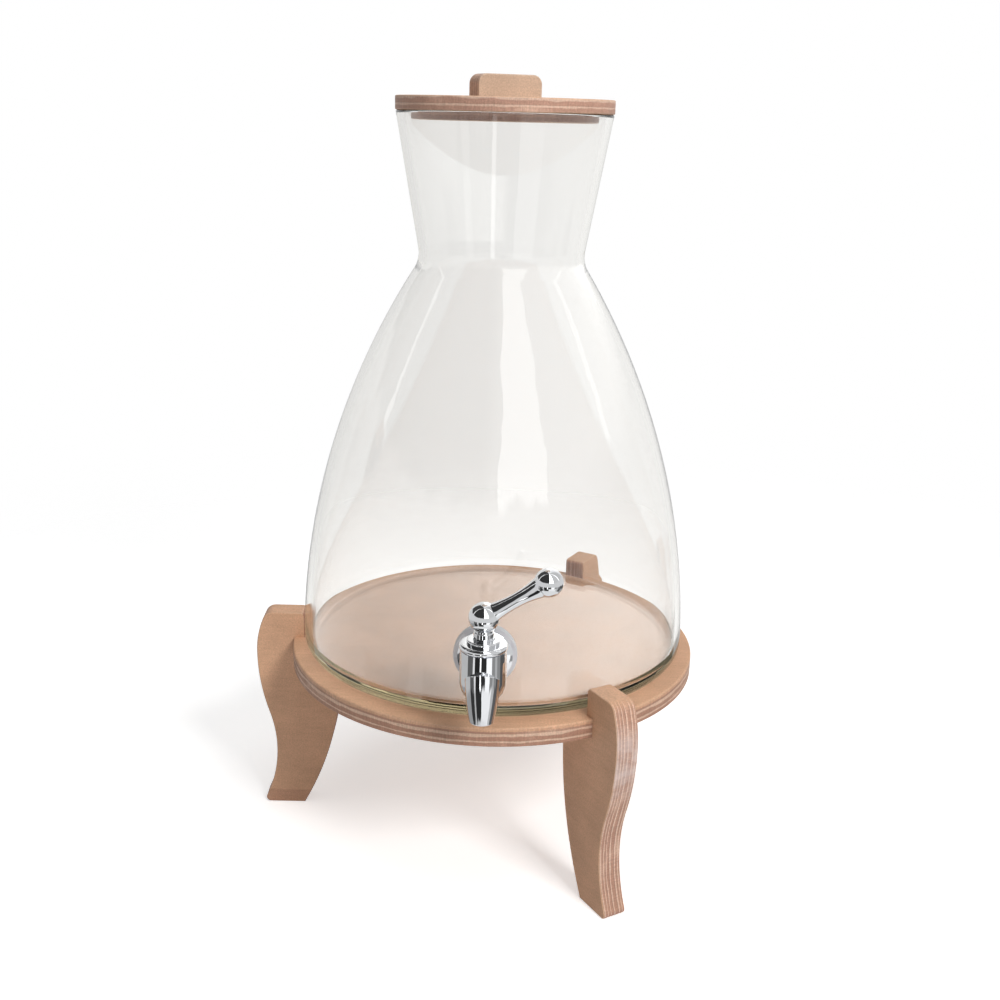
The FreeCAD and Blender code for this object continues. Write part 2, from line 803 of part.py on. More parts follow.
def plug_ring(label, height):
    """Rubber ring in a groove of the valve plug."""
    ring = doc.addObject("Part::Torus", label)
    ring.Label = label
    set_size(ring, "Radius1", s.chamber_radius - s.ring_gap - s.ring_section / 2)
    set_size(ring, "Radius2", s.ring_section / 2)
    return place(ring, y=-tap_axis, z=tap_level + height)


def slip_washer():
    """Thin washer between the valve plug and the bonnet."""
    body = new_body("slip_washer")
    bottom = s.barrel_rise - s.spigot_depth - s.slip_washer_thick
    inner = s.stem_radius + s.bonnet_slip
    section = ring_section(inner, s.seat_radius - s.valve_slip, bottom, s.barrel_rise - s.spigot_depth)
    turned(body, draw(new_sketch(body, "XZ_Plane", "section"), section))
    return place_on_tap(body)


def tap_lever():
    """Lever with a ball at each end, whose square tenon turns the valve plug."""
    body = new_body("tap_lever")
    tenon = s.socket_width / 2 - s.tenon_slip
    tenon_depth = s.socket_depth - s.tenon_slip
    square_end = new_sketch(body, "XY_Plane", "tenon", shift=(0, 0, valve_top))
    draw(square_end, [(-tenon, -tenon), (tenon, -tenon), (tenon, tenon), (-tenon, tenon)])
    pad(body, square_end, tenon_depth * 2)
    meet = s.ball_rise - root(square(s.ball_radius) - square(s.neck_waist))
    ball_top = s.ball_rise + s.ball_radius
    stem = [
        (0, valve_top),
        (s.stem_radius, valve_top),
        (s.stem_radius, s.collar_rise - s.collar_ease),
        left_bend(s.collar_ease),
        (s.stem_radius - s.collar_ease, s.collar_rise),
        (s.neck_waist, s.collar_rise),
        (s.neck_waist, meet),
        left_bend(s.ball_radius),
        (s.ball_radius, s.ball_rise),
        left_bend(s.ball_radius),
        (0, ball_top),
    ]
    turned(body, draw(new_sketch(body, "XZ_Plane", "stem"), stem))
    rod_start = root(square(s.ball_radius) - square(s.rod_radius))
    rod_end = s.lever_length - root(square(s.knob_radius) - square(s.rod_end_radius))
    rod = [
        (0, 0),
        (s.lever_length + s.knob_radius, 0),
        left_bend(s.knob_radius),
        (s.lever_length, s.knob_radius),
        left_bend(s.knob_radius),
        (rod_end, s.rod_end_radius),
        right_bend(s.rod_hollow),
        (rod_start, s.rod_radius),
        (0, s.rod_radius),
    ]
    arm = new_sketch(body, "XZ_Plane", "arm", shift=(0, s.ball_rise, 0), turn=s.lever_tilt)
    turned(body, draw(arm, rod), axis="H_Axis")
    return place_on_tap(body)


def tube_along_shank(name, inner, outer, start, length):
    """Return a straight tube about the tap's shank."""
    shells = []
    for part, radius in (("outer", outer), ("inner", inner)):
        shell = doc.addObject("Part::Cylinder", f"{name}_{part}")
        shell.Placement = FreeCAD.Placement(FreeCAD.Vector(), FreeCAD.Rotation(FreeCAD.Vector(1, 0, 0), -90))
        set_size(shell, "Radius", radius)
        set_size(shell, "Height", length)
        shells.append(place(shell, y=start - tap_axis, z=tap_level))
    tube = doc.addObject("Part::Cut", f"{name}_tube")
    tube.Base, tube.Tool = shells
    return tube


def outer_gasket(outside):
    """Soft seal between the tap's flange and the curved glass."""
    bore = s.shank_radius + s.hole_slip
    gasket = doc.addObject("Part::Cut", "outer_gasket")
    gasket.Label = "outer_gasket"
    gasket.Base = tube_along_shank("outer_gasket", bore, s.gasket_radius, gasket_face, s.gasket_radius)
    gasket.Tool = outside
    return gasket


def inner_gasket(inside):
    """Soft seal between the curved glass and the washer inside the vessel."""
    bore = s.shank_radius + s.hole_slip
    length = s.inner_gasket_radius
    start = washer_face - length
    gasket = doc.addObject("Part::Common", "inner_gasket")
    gasket.Label = "inner_gasket"
    gasket.Base = tube_along_shank("inner_gasket", bore, s.inner_gasket_radius, start, length)
    gasket.Tool = inside
    return gasket


def inner_washer():
    """Flat washer under the lock nut."""
    body = new_body("inner_washer")
    bore = s.shank_radius + s.hole_slip
    section = [(washer_face, bore), (nut_face, bore), (nut_face, s.washer_radius), (washer_face, s.washer_radius)]
    turned(body, draw(new_sketch(body, "YZ_Plane", "section"), section), axis="H_Axis")
    return place_on_tap(body)


def lock_nut():
    """Hexagon nut on the shank, inside the vessel."""
    body = new_body("lock_nut")
    corner = s.nut_flats / root(as_size(3))
    flat = s.nut_flats / 2
    middle = nut_face + s.nut_thick / 2
    hexagon = new_sketch(body, "XZ_Plane", "hexagon", shift=(0, 0, -middle))
    half = corner / 2
    draw(hexagon, [(corner, 0), (half, flat), (-half, flat), (-corner, 0), (-half, -flat), (half, -flat)])
    draw_circle(hexagon, (0, 0), s.shank_radius + s.nut_slip)
    pad(body, hexagon, s.nut_thick)
    return place_on_tap(body)


def check(pieces):
    """Stop if any object failed or any piece is not a sound solid."""
    doc.recompute()
    for item in doc.Objects:
        if {"Invalid", "Error"} & set(item.State):
            raise RuntimeError(f"{item.Name} failed: {item.State}")
    for piece in pieces:
        if piece.Shape.isNull() or not piece.Shape.isValid() or not piece.Shape.Solids:
            raise RuntimeError(f"{piece.Label} is not a sound solid")


def main():
    """Build every piece, check them all and write one file for each."""
    outside = glass_block("glass_outside", outer_glass(s.seat_gap) + [(0, rim_top - s.rim_round)])
    inside = glass_block("glass_inside", [(0, rim_top - s.rim_round)] + inner_glass(s.seat_gap))
    pieces = [stand_disc()]
    pieces += [leg(label, HALF_TURN + order * FULL_TURN / len(LEGS)) for order, label in enumerate(LEGS)]
    pieces += [glass_vessel(), lid_disc(), lid_plug(), lid_handle(), lid_screws()]
    pieces += [tap_body(), tap_bonnet(), valve_plug(), slip_washer(), tap_lever()]
    pieces += [plug_ring("plug_ring_upper", s.ring_height), plug_ring("plug_ring_lower", -s.ring_height)]
    pieces += [outer_gasket(outside), inner_gasket(inside), inner_washer(), lock_nut()]
    check(pieces)
    os.makedirs("parts", exist_ok=True)
    for piece in pieces:
        piece.Shape.exportStep(f"parts/{piece.Label}.step")
        print(f"{piece.Label}: {len(piece.Shape.Solids)} solid, {piece.Shape.Volume / 1000:.2f} cm3")


main()
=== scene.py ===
"""Glass dispenser with a plywood lid and stand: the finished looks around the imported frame.

Lengths are metres in the frame's own axes: the origin is on the floor under the vessel's axis, Z points up
and the tap faces -Y.
"""

import logging
import math
from collections.abc import Callable
from dataclasses import dataclass
from enum import Enum

import bpy
from mathutils import Matrix, Vector


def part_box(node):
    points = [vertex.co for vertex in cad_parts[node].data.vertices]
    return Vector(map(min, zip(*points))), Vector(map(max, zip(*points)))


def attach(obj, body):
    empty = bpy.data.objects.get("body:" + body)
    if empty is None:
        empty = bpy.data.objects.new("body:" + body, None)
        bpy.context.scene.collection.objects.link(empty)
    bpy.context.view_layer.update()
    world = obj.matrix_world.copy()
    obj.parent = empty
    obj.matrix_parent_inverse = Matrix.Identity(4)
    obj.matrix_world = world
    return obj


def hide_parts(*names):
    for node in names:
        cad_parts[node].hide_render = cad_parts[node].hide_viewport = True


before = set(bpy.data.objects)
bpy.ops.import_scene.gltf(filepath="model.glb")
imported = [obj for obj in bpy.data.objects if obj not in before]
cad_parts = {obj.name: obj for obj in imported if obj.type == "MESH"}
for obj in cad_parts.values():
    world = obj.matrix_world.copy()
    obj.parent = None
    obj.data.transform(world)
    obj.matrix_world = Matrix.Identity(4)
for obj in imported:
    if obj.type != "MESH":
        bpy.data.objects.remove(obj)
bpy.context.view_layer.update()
log = logging.getLogger("dispenser")

NEAR = 2e-6  # points closer than this are one point
TURN_STEPS = 128  # faces round a turned piece
HOLE_STEPS = 64  # faces round a hole
ROUND_STEPS = 4  # faces across a rounded edge
SMOOTH_ANGLE = math.radians(32)
WHITE = (1.0, 1.0, 1.0, 1.0)

Colour = tuple[float, float, float, float]
Place = tuple[float, float, float]
Bands = tuple[tuple[float, float], ...]
Socket = bpy.types.NodeSocket


class Body(Enum):
    """The bodies of the frame that new pieces ride on."""

    VESSEL = "vessel"
    LEVER = "lever"


class Slot(Enum):
    """The record's material slots that new pieces take."""

    GLASS = "clear_glass"
    CHROME = "tap_chrome"
    SILICONE = "clear_silicone"
    PLASTIC = "moulded_plastic"


class Joining(Enum):
    """How one solid takes another."""

    ADD = "UNION"
    CUT = "DIFFERENCE"
    KEEP = "INTERSECT"


@dataclass(frozen=True)
class Corner:
    """A corner of a turned section."""

    out: float  # distance from the axis
    up: float  # distance along the axis
    ease: float = 0.0  # radius that the corner is rounded to


@dataclass(frozen=True)
class Spindle:
    """The axis that a section is turned about, and the direction in which the section is drawn."""

    foot: Place = (0.0, 0.0, 0.0)
    along: Place = (0.0, 0.0, 1.0)
    side: Place = (1.0, 0.0, 0.0)

    def place(self, corner: Corner) -> Vector:
        """Return where a corner of the section lies."""
        return Vector(self.foot) + Vector(self.side) * corner.out + Vector(self.along) * corner.up

    def holds(self, point: Vector, corner: Corner) -> bool:
        """Tell whether a point lies on the ring that a corner draws.

        Args:
            point: the point.
            corner: corner of the section.

        Returns:
            True if it does.
        """
        arm = point - Vector(self.foot)
        up = arm.dot(Vector(self.along))
        out = (arm - Vector(self.along) * up).length
        return abs(up - corner.up) < NEAR and abs(out - corner.out) < NEAR


def clear_selection() -> None:
    """Leave nothing selected."""
    bpy.ops.object.select_all(action="DESELECT")


def make_active(piece: bpy.types.Object) -> None:
    """Select one piece alone and work on it.

    Args:
        piece: object to work on.
    """
    clear_selection()
    piece.select_set(True)
    bpy.context.view_layer.objects.active = piece


def arc(start: Corner, end: Corner, radius: float, left: bool, steps: int) -> list[Corner]:
    """Return the corners of a round stretch of a section, both ends included.

    Args:
        start: corner where the arc begins.
        end: corner where the arc ends.
        radius: radius of the arc.
        left: whether the arc turns left on its way.
        steps: number of straight steps along it.

    Returns:
        The corners in order.
    """
    first = Vector((start.out, start.up))
    last = Vector((end.out, end.up))
    chord = last - first
    reach = math.sqrt(max(radius**2 - (chord.length / 2) ** 2, 0.0))
    normal = Vector((-chord.y, chord.x)).normalized() * (1 if left else -1)
    centre = (first + last) / 2 + normal * reach
    begin = math.atan2(first.y - centre.y, first.x - centre.x)
    turn = math.atan2(last.y - centre.y, last.x - centre.x) - begin
    turn = turn % math.tau if left else -(-turn % math.tau)
    angles = [begin + turn * step / steps for step in range(1, steps)]
    between = [Corner(centre.x + radius * math.cos(a), centre.y + radius * math.sin(a)) for a in angles]
    return [start, *between, end]


def bar(radius: float, low: float, high: float) -> list[Corner]:
    """Return the section of a plain round bar."""
    return [Corner(0.0, low), Corner(radius, low), Corner(radius, high), Corner(0.0, high)]


def pick_edges(piece: bpy.types.Object, wanted: Callable[[Vector], bool]) -> int:
    """Select the edges whose two ends are both wanted.

    Args:
        piece: object whose edges are picked, in object mode.
        wanted: test of a point.

    Returns:
        How many edges were picked.
    """
    mesh = piece.data
    chosen = [wanted(vertex.co) for vertex in mesh.vertices]
    picked = [chosen[edge.vertices[0]] and chosen[edge.vertices[1]] for edge in mesh.edges]
    mesh.polygons.foreach_set("select", [False] * len(mesh.polygons))
    mesh.vertices.foreach_set("select", chosen)
    mesh.edges.foreach_set("select", picked)
    return sum(picked)


def round_edges(piece: bpy.types.Object, wanted: Callable[[Vector], bool], radius: float) -> None:
    """Round the edges whose two ends are both wanted.

    Args:
        piece: object whose edges are rounded.
        wanted: test of a point.
        radius: how far the rounding reaches from the edge.
    """
    make_active(piece)
    if not pick_edges(piece, wanted):
        raise ValueError(f"{piece.name} has no such edge to round")
    bpy.ops.object.mode_set(mode="EDIT")
    bpy.ops.mesh.select_mode(type="EDGE")
    bpy.ops.mesh.bevel(offset=radius, segments=ROUND_STEPS, affect="EDGES")
    bpy.ops.object.mode_set(mode="OBJECT")


def turned(name: str, section: list[Corner], spindle: Spindle, steps: int = TURN_STEPS) -> bpy.types.Object:
    """Draw half a section by extruding a vertex from corner to corner, spin it and ease its corners.

    Args:
        name: name of the piece.
        section: corners in order, from axis to axis or all the way round.
        spindle: axis to turn about.
        steps: faces round the axis.

    Returns:
        The turned piece, its normals outward.
    """
    clear_selection()
    bpy.ops.mesh.primitive_plane_add(size=1.0)
    piece = bpy.context.object
    piece.name = name
    piece.data.name = name
    bpy.ops.object.mode_set(mode="EDIT")
    bpy.ops.mesh.select_mode(type="VERT")
    bpy.ops.mesh.select_all(action="SELECT")
    bpy.ops.mesh.merge(type="CENTER")
    places = [spindle.place(corner) for corner in section]
    bpy.ops.transform.translate(value=places[0])
    for here, there in zip(places, places[1:]):
        bpy.ops.mesh.extrude_vertices_move(TRANSFORM_OT_translate={"value": there - here})
    bpy.ops.mesh.select_all(action="SELECT")
    bpy.ops.mesh.spin(steps=steps, angle=math.tau, center=spindle.foot, axis=spindle.along)
    bpy.ops.mesh.select_all(action="SELECT")
    bpy.ops.mesh.remove_doubles(threshold=NEAR)
    bpy.ops.mesh.normals_make_consistent(inside=False)
    bpy.ops.object.mode_set(mode="OBJECT")
    for corner in section:
        if corner.ease > 0:
            round_edges(piece, lambda point, corner=corner: spindle.holds(point, corner), corner.ease)
    return piece


def combine(piece: bpy.types.Object, tool: bpy.types.Object, how: Joining) -> None:
    """Join a tool to a piece and throw the tool away.

    Args:
        piece: object that is changed.
        tool: object that it takes.
        how: whether the tool is added, cut out or kept to.
    """
    make_active(piece)
    bpy.ops.object.modifier_add(type="BOOLEAN")
    modifier = piece.modifiers[-1]
    modifier.operation = how.value
    modifier.object = tool
    modifier.solver = "EXACT"
    bpy.ops.object.modifier_apply(modifier=modifier.name)
    bpy.data.objects.remove(tool)


def deliver(
    piece: bpy.types.Object,
    body: Body,
    material: bpy.types.Material,
    node: str,
) -> None:
    """Smooth a piece, give it its finish and hang it in the frame.

    Args:
        piece: finished mesh.
        body: body that it moves with.
        material: its finish.
        node: CAD node that it stands for.
    """
    make_active(piece)
    bpy.ops.object.shade_smooth_by_angle(angle=SMOOTH_ANGLE)
    bpy.ops.object.modifier_add(type="WEIGHTED_NORMAL")
    modifier = piece.modifiers[-1]
    modifier.keep_sharp = True
    bpy.ops.object.modifier_apply(modifier=modifier.name)
    piece.data.materials.clear()
    piece.data.materials.append(material)
    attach(piece, body.value)
    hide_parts(node)
    log.info("piece %s on %s, %d faces", piece.name, body.value, len(piece.data.polygons))


def dress(node: str, material: bpy.types.Material) -> None:
    """Give a CAD node its finish.

    Args:
        node: name of the node.
        material: its finish.
    """
    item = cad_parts[node]
    if not item.material_slots:
        item.data.materials.append(material)
    for slot in item.material_slots:
        slot.material = material
    log.info("node %s wears %s", node, material.name)


class Graph:
    """A node tree under construction, with short calls for the nodes that the finishes share."""

    def __init__(self, tree: bpy.types.NodeTree) -> None:
        """Start on an empty tree."""
        self.tree = tree
        tree.nodes.clear()

    def node(self, kind: str, inputs: dict | None = None, **settings: object) -> bpy.types.Node:
        """Add a node.

        Args:
            kind: type of the node, without its ShaderNode prefix.
            inputs: values or sockets by input name or number.
            settings: properties of the node.

        Returns:
            The node.
        """
        node = self.tree.nodes.new(kind if kind.startswith("Node") else f"ShaderNode{kind}")
        for name, value in settings.items():
            setattr(node, name, value)
        for name, value in (inputs or {}).items():
            self.feed(node.inputs[name], value)
        return node

    def feed(self, socket: Socket, value: object) -> None:
        """Link a socket to another one, or set its value."""
        if isinstance(value, Socket):
            self.tree.links.new(value, socket)
        else:
            socket.default_value = value

    def math(self, operation: str, *values: object) -> Socket:
        """Return the result of a sum."""
        return self.node("Math", dict(enumerate(values)), operation=operation).outputs[0]

    def join(self, x: object, y: object, z: object) -> Socket:
        """Return a vector of three values."""
        return self.node("CombineXYZ", {0: x, 1: y, 2: z}).outputs[0]

    def split(self, vector: Socket) -> tuple[Socket, ...]:
        """Return the three values of a vector."""
        return tuple(self.node("SeparateXYZ", {0: vector}).outputs)

    def noise(self, vector: object, scale: float, detail: float, roughness: float = 0.55) -> Socket:
        """Return a cloudy value from 0 to 1."""
        inputs = {"Vector": vector, "Scale": scale, "Detail": detail, "Roughness": roughness}
        return self.node("TexNoise", inputs).outputs["Fac"]

    def spread(self, value: object, low: float, high: float, to_low: float, to_high: float) -> Socket:
        """Return a value eased from one range into another and held at its ends."""
        inputs = {0: value, 1: low, 2: high, 3: to_low, 4: to_high}
        return self.node("MapRange", inputs, interpolation_type="SMOOTHSTEP").outputs[0]

    def mix(self, share: object, first: object, second: object, blend: str = "MIX") -> Socket:
        """Return a colour between two colours."""
        inputs = {0: share, 6: first, 7: second}
        return self.node("Mix", inputs, data_type="RGBA", blend_type=blend).outputs[2]

    def between(self, share: object, first: object, second: object) -> Socket:
        """Return a value between two values."""
        return self.node("Mix", {0: share, 2: first, 3: second}, data_type="FLOAT").outputs[0]

    def bands(self, value: object, low: float, high: float, stops: Bands) -> Socket:
        """Return a value that steps from band to band.

        Args:
            value: what picks the band.
            low: start of the range that the bands cover.
            high: end of that range.
            stops: where each band starts, and its value.

        Returns:
            The value of the band.
        """
        share = self.node("MapRange", {0: value, 1: low, 2: high, 3: 0.0, 4: 1.0}).outputs[0]
        ramp = self.node("ValToRGB", {0: share})
        ramp.color_ramp.interpolation = "CONSTANT"
        elements = ramp.color_ramp.elements
        elements.remove(elements[1])
        for order, (start, level) in enumerate(stops):
            place = (start - low) / (high - low)
            element = elements[0] if order == 0 else elements.new(place)
            element.position = place
            element.color = (level, level, level, 1.0)
        return ramp.outputs["Color"]

    def group(self, tree: bpy.types.NodeTree, inputs: dict) -> bpy.types.Node:
        """Place a shared node group with this use's own values or sockets, and return its node."""
        return self.node("Group", inputs, node_tree=tree)


@dataclass(frozen=True)
class SharedEffect:
    """A shader node group that several finishes place with their own values."""

    name: str
    takes: tuple[tuple[str, str], ...]
    gives: tuple[tuple[str, str], ...]

    def tree(self) -> bpy.types.NodeTree:
        """Build the group the first time that it is asked for.

        Returns:
            The group.
        """
        made = bpy.data.node_groups.get(self.name)
        if made:
            return made
        tree = bpy.data.node_groups.new(self.name, "ShaderNodeTree")
        for side, sockets in (("INPUT", self.takes), ("OUTPUT", self.gives)):
            for name, kind in sockets:
                tree.interface.new_socket(name=name, in_out=side, socket_type=f"NodeSocket{kind}")
        graph = Graph(tree)
        given = graph.node("NodeGroupInput")
        results = self.draw(graph, given.outputs)
        graph.node("NodeGroupOutput", dict(zip((name for name, _ in self.gives), results)))
        return tree

    def draw(self, graph: Graph, given: bpy.types.NodeOutputs) -> tuple[Socket, ...]:
        """Draw the inside of the group.

        Args:
            graph: the group's tree.
            given: sockets of what the group takes.

        Returns:
            The results, in the order in which the group gives them.
        """
        raise NotImplementedError


@dataclass(frozen=True)
class PlyLayers(SharedEffect):
    """Stacked veneers with crossed grain: a speckled sanded face, and pink and pale stripes on the edges
    with patches of painted sheen.
    """

    name: str = "ply_layers"
    takes: tuple = (
        ("Place", "Vector"),
        ("Facing", "Vector"),
        ("Thickness", "Float"),
        ("Pairs", "Float"),
        ("Seed", "Float"),
        ("Top Fade", "Float"),
        ("Skin", "Float"),
        ("Grain", "Vector"),
        ("Veneer", "Color"),
        ("Pale", "Color"),
        ("End Grain", "Color"),
        ("Glue", "Color"),
    )
    gives: tuple = (("Color", "Color"), ("Roughness", "Float"), ("Height", "Float"))
    thin_share: float = 0.36  # a pale ply's part of each pair
    soft_share: float = 0.06  # half the width of the change between two plies
    wander: float = 0.0011  # how far the plies stray from flat
    end_gap: float = 0.004  # keeps the stack inside the board
    swell: float = 0.035  # difference between thick and thin plies
    ragged: float = 0.7  # unevenness of the pale plies
    wander_fineness: float = 70.0
    speckle_fineness: float = 1000.0
    patch_fineness: Place = (55.0, 55.0, 190.0)
    saw_fineness: Place = (1300.0, 1300.0, 130.0)
    blotch_fineness: Place = (34.0, 34.0, 90.0)

    def draw(self, graph: Graph, given: bpy.types.NodeOutputs) -> tuple[Socket, ...]:
        """Draw the plies, their grain and the glue between them.

        Args:
            graph: the group's tree.
            given: sockets of what the group takes.

        Returns:
            The layers' colour, roughness and height.
        """
        place, seed = given["Place"], given["Seed"]
        cloud = graph.noise(place, self.wander_fineness, 3.0)
        wander = graph.math("MULTIPLY", graph.math("SUBTRACT", cloud, 0.5), self.wander)
        share = graph.math("DIVIDE", graph.math("ADD", graph.split(place)[2], wander), given["Thickness"])
        share = graph.math("MINIMUM", graph.math("MAXIMUM", share, self.end_gap), 1.0 - self.end_gap)
        swell = graph.math("SINE", graph.math("MULTIPLY_ADD", share, 9.0, seed))
        stack = graph.math("MULTIPLY", graph.math("MULTIPLY_ADD", swell, self.swell, share), given["Pairs"])
        layer = graph.math("FLOOR", stack)
        within = graph.math("FRACT", stack)
        uneven = graph.noise(self.stretched(graph, place, self.patch_fineness, seed), 1.0, 2.0)
        thick = graph.math("MULTIPLY_ADD", graph.math("SUBTRACT", uneven, 0.5), self.ragged, within)
        change = 1.0 - self.thin_share
        pale = graph.spread(thick, change - self.soft_share, change + self.soft_share, 0.0, 1.0)
        shift = graph.math("MULTIPLY_ADD", layer, 3.7, seed)
        tone = graph.node("TexWhiteNoise", {"W": shift}, noise_dimensions="1D").outputs["Value"]
        facing_x, _, facing_z = graph.split(given["Facing"])
        edge = graph.spread(graph.math("ABSOLUTE", facing_z), 0.35, 0.9, 1.0, 0.0)
        fade = graph.math("MULTIPLY", graph.math("POWER", facing_x, 2.0), given["Top Fade"])
        edge = graph.math("MULTIPLY", edge, graph.math("SUBTRACT", 1.0, fade))
        streak = graph.noise(self.stretched(graph, place, given["Grain"], seed), 1.0, 4.0, 0.62)
        speckle = graph.noise(place, self.speckle_fineness, 3.0, 0.75)
        saw = graph.noise(self.stretched(graph, place, self.saw_fineness, seed), 1.0, 2.0)
        blotch = graph.noise(self.stretched(graph, place, self.blotch_fineness, seed), 1.0, 3.0)
        stripes = graph.mix(pale, given["End Grain"], given["Pale"])
        # painted sheen: pale patches at random over the plies of the edges
        sheen_patches = graph.math("MULTIPLY", graph.spread(blotch, 0.5, 0.72, 0.0, 1.0), 0.55)
        stripes = graph.mix(sheen_patches, stripes, given["Pale"])
        rim = graph.math("MINIMUM", within, graph.math("SUBTRACT", 1.0, within))
        line = graph.spread(rim, 0.02, 0.11, 1.0, 0.0)
        line = graph.math("MULTIPLY", line, graph.spread(tone, 0.2, 0.8, 0.25, 0.95))
        stripes = graph.mix(line, stripes, given["Glue"])
        depth = graph.math("SUBTRACT", given["Skin"], graph.math("SUBTRACT", 1.0, share))
        stripes = graph.mix(graph.spread(depth, 0.0, 0.03, 0.0, 0.85), stripes, given["Veneer"])
        colour = graph.mix(edge, given["Veneer"], stripes)
        lights = graph.math("MULTIPLY_ADD", streak, 0.26, 0.87)
        lights = graph.math("MULTIPLY", lights, graph.math("MULTIPLY_ADD", speckle, 0.9, 0.55))
        lights = graph.math("MULTIPLY", lights, graph.math("MULTIPLY_ADD", blotch, 0.5, 0.75))
        saw_tone_and_shade = graph.between(edge, 1.0, graph.math("MULTIPLY_ADD", saw, 0.5, 0.75))
        lights = graph.math("MULTIPLY", lights, saw_tone_and_shade)
        colour = graph.mix(1.0, colour, graph.join(lights, lights, lights), "MULTIPLY")
        roughness = graph.math("MULTIPLY_ADD", streak, -0.2, 0.66)
        grooves = graph.math("MULTIPLY", line, edge)
        height = graph.math("SUBTRACT", graph.math("MULTIPLY_ADD", speckle, 0.6, streak), grooves)
        return colour, roughness, height

    @staticmethod
    def stretched(graph: Graph, place: Socket, scale: object, seed: Socket) -> Socket:
        """Return a place scaled by its own amount in each direction and moved by the board's seed.

        Args:
            graph: tree that the nodes go in.
            place: place on the board.
            scale: amount in each direction.
            seed: the board's own number.

        Returns:
            The new place.
        """
        larger = graph.node("VectorMath", {0: place, 1: scale}, operation="MULTIPLY").outputs[0]
        move = graph.join(seed, seed, seed)
        return graph.node("VectorMath", {0: larger, 1: move}, operation="ADD").outputs[0]


@dataclass(frozen=True)
class EasedEdge(SharedEffect):
    """Mask of the sanded edges of a flat board, where its normal is between its face and its edge."""

    name: str = "eased_edge"
    takes: tuple = (("Place", "Vector"), ("Facing", "Vector"))
    gives: tuple = (("Mask", "Float"),)

    def draw(self, graph: Graph, given: bpy.types.NodeOutputs) -> tuple[Socket, ...]:
        """Draw the mask, broken into patches.

        Args:
            graph: the group's tree.
            given: sockets of what the group takes.

        Returns:
            The mask.
        """
        tilt = graph.math("ABSOLUTE", graph.split(given["Facing"])[2])
        rise = graph.spread(tilt, 0.1, 0.45, 0.0, 1.0)
        fall = graph.spread(tilt, 0.85, 0.99, 1.0, 0.0)
        patch = graph.spread(graph.noise(given["Place"], 240.0, 3.0), 0.35, 0.6, 0.25, 1.0)
        return (graph.math("MULTIPLY", graph.math("MULTIPLY", rise, fall), patch),)


@dataclass(frozen=True)
class LegPaintedLightAndBand(SharedEffect):
    """Painted light on a leg: a painted sheen on the outer edge's belly and painted shade on its inner edge,
    with a darker band on the foot.
    """

    name: str = "leg_painted_light_and_band"
    takes: tuple = (("Place", "Vector"), ("Facing", "Vector"), ("Color", "Color"), ("Foot Mark", "Float"))
    gives: tuple = (("Color", "Color"),)
    belly: tuple[float, float, float, float] = (0.070, 0.096, 0.110, 0.130)
    # painted sheen: whitish colour on the outer edge's belly, where that edge would catch the light
    painted_sheen: Colour = (0.72, 0.60, 0.57, 1.0)
    # painted shade for the inner edge, which faces away from the lamps
    saw_tone_and_shade: Colour = (0.72, 0.58, 0.52, 1.0)
    foot_darker: Colour = (0.74, 0.66, 0.70, 1.0)

    def draw(self, graph: Graph, given: bpy.types.NodeOutputs) -> tuple[Socket, ...]:
        """Draw the painted sheen, the painted shade and the darker band one over the other.

        Args:
            graph: the group's tree.
            given: sockets of what the group takes.

        Returns:
            The colour with the painted light and the band.
        """
        height = graph.split(given["Place"])[0]
        inward = graph.split(given["Facing"])[1]
        cloud = graph.noise(given["Place"], 120.0, 3.0)
        low, full, still, high = self.belly
        outward = graph.math("MULTIPLY", inward, -1.0)
        # painted sheen: mask of the outward edge between the belly's heights, broken up by a cloud
        sheen_share = graph.spread(height, low, full, 0.0, 1.0)
        sheen_share = graph.math("MULTIPLY", sheen_share, graph.spread(height, still, high, 1.0, 0.0))
        sheen_share = graph.math("MULTIPLY", sheen_share, graph.spread(outward, 0.5, 0.9, 0.0, 1.0))
        sheen_share = graph.math("MULTIPLY", sheen_share, graph.spread(cloud, 0.3, 0.65, 0.15, 0.65))
        colour = graph.mix(sheen_share, given["Color"], self.painted_sheen)
        # painted shade: the inner edge, facing the stand's middle, is darkened
        colour = graph.mix(graph.spread(inward, 0.5, 0.9, 0.0, 1.0), colour, self.saw_tone_and_shade, "MULTIPLY")
        # darker band on the foot, below the height that the board gives
        line = graph.math("SUBTRACT", given["Foot Mark"], height)
        line = graph.math("MULTIPLY_ADD", graph.math("SUBTRACT", cloud, 0.5), 0.002, line)
        return (graph.mix(graph.spread(line, 0.0, 0.0006, 0.0, 0.6), colour, self.foot_darker, "MULTIPLY"),)


@dataclass(frozen=True)
class Smudge(SharedEffect):
    """Mask of faint wipe marks on a polished surface."""

    name: str = "smudge"
    takes: tuple = (("Place", "Vector"), ("Size", "Float"))
    gives: tuple = (("Mask", "Float"), ("Height", "Float"))

    def draw(self, graph: Graph, given: bpy.types.NodeOutputs) -> tuple[Socket, ...]:
        """Draw clouds and wiped strokes.

        Args:
            graph: the group's tree.
            given: sockets of what the group takes.

        Returns:
            The mask and a slow unevenness.
        """
        place = graph.node("VectorMath", {0: given["Place"], 3: given["Size"]}, operation="SCALE").outputs[0]
        cloud = graph.noise(place, 1.0, 4.0, 0.6)
        x, y, z = graph.split(place)
        strokes = graph.join(graph.math("MULTIPLY", x, 6.0), y, graph.math("MULTIPLY", z, 0.8))
        wiped = graph.noise(strokes, 2.0, 2.0)
        mask = graph.math("MULTIPLY", graph.spread(cloud, 0.4, 0.75, 0.0, 1.0), wiped)
        return mask, graph.noise(place, 0.35, 1.0)


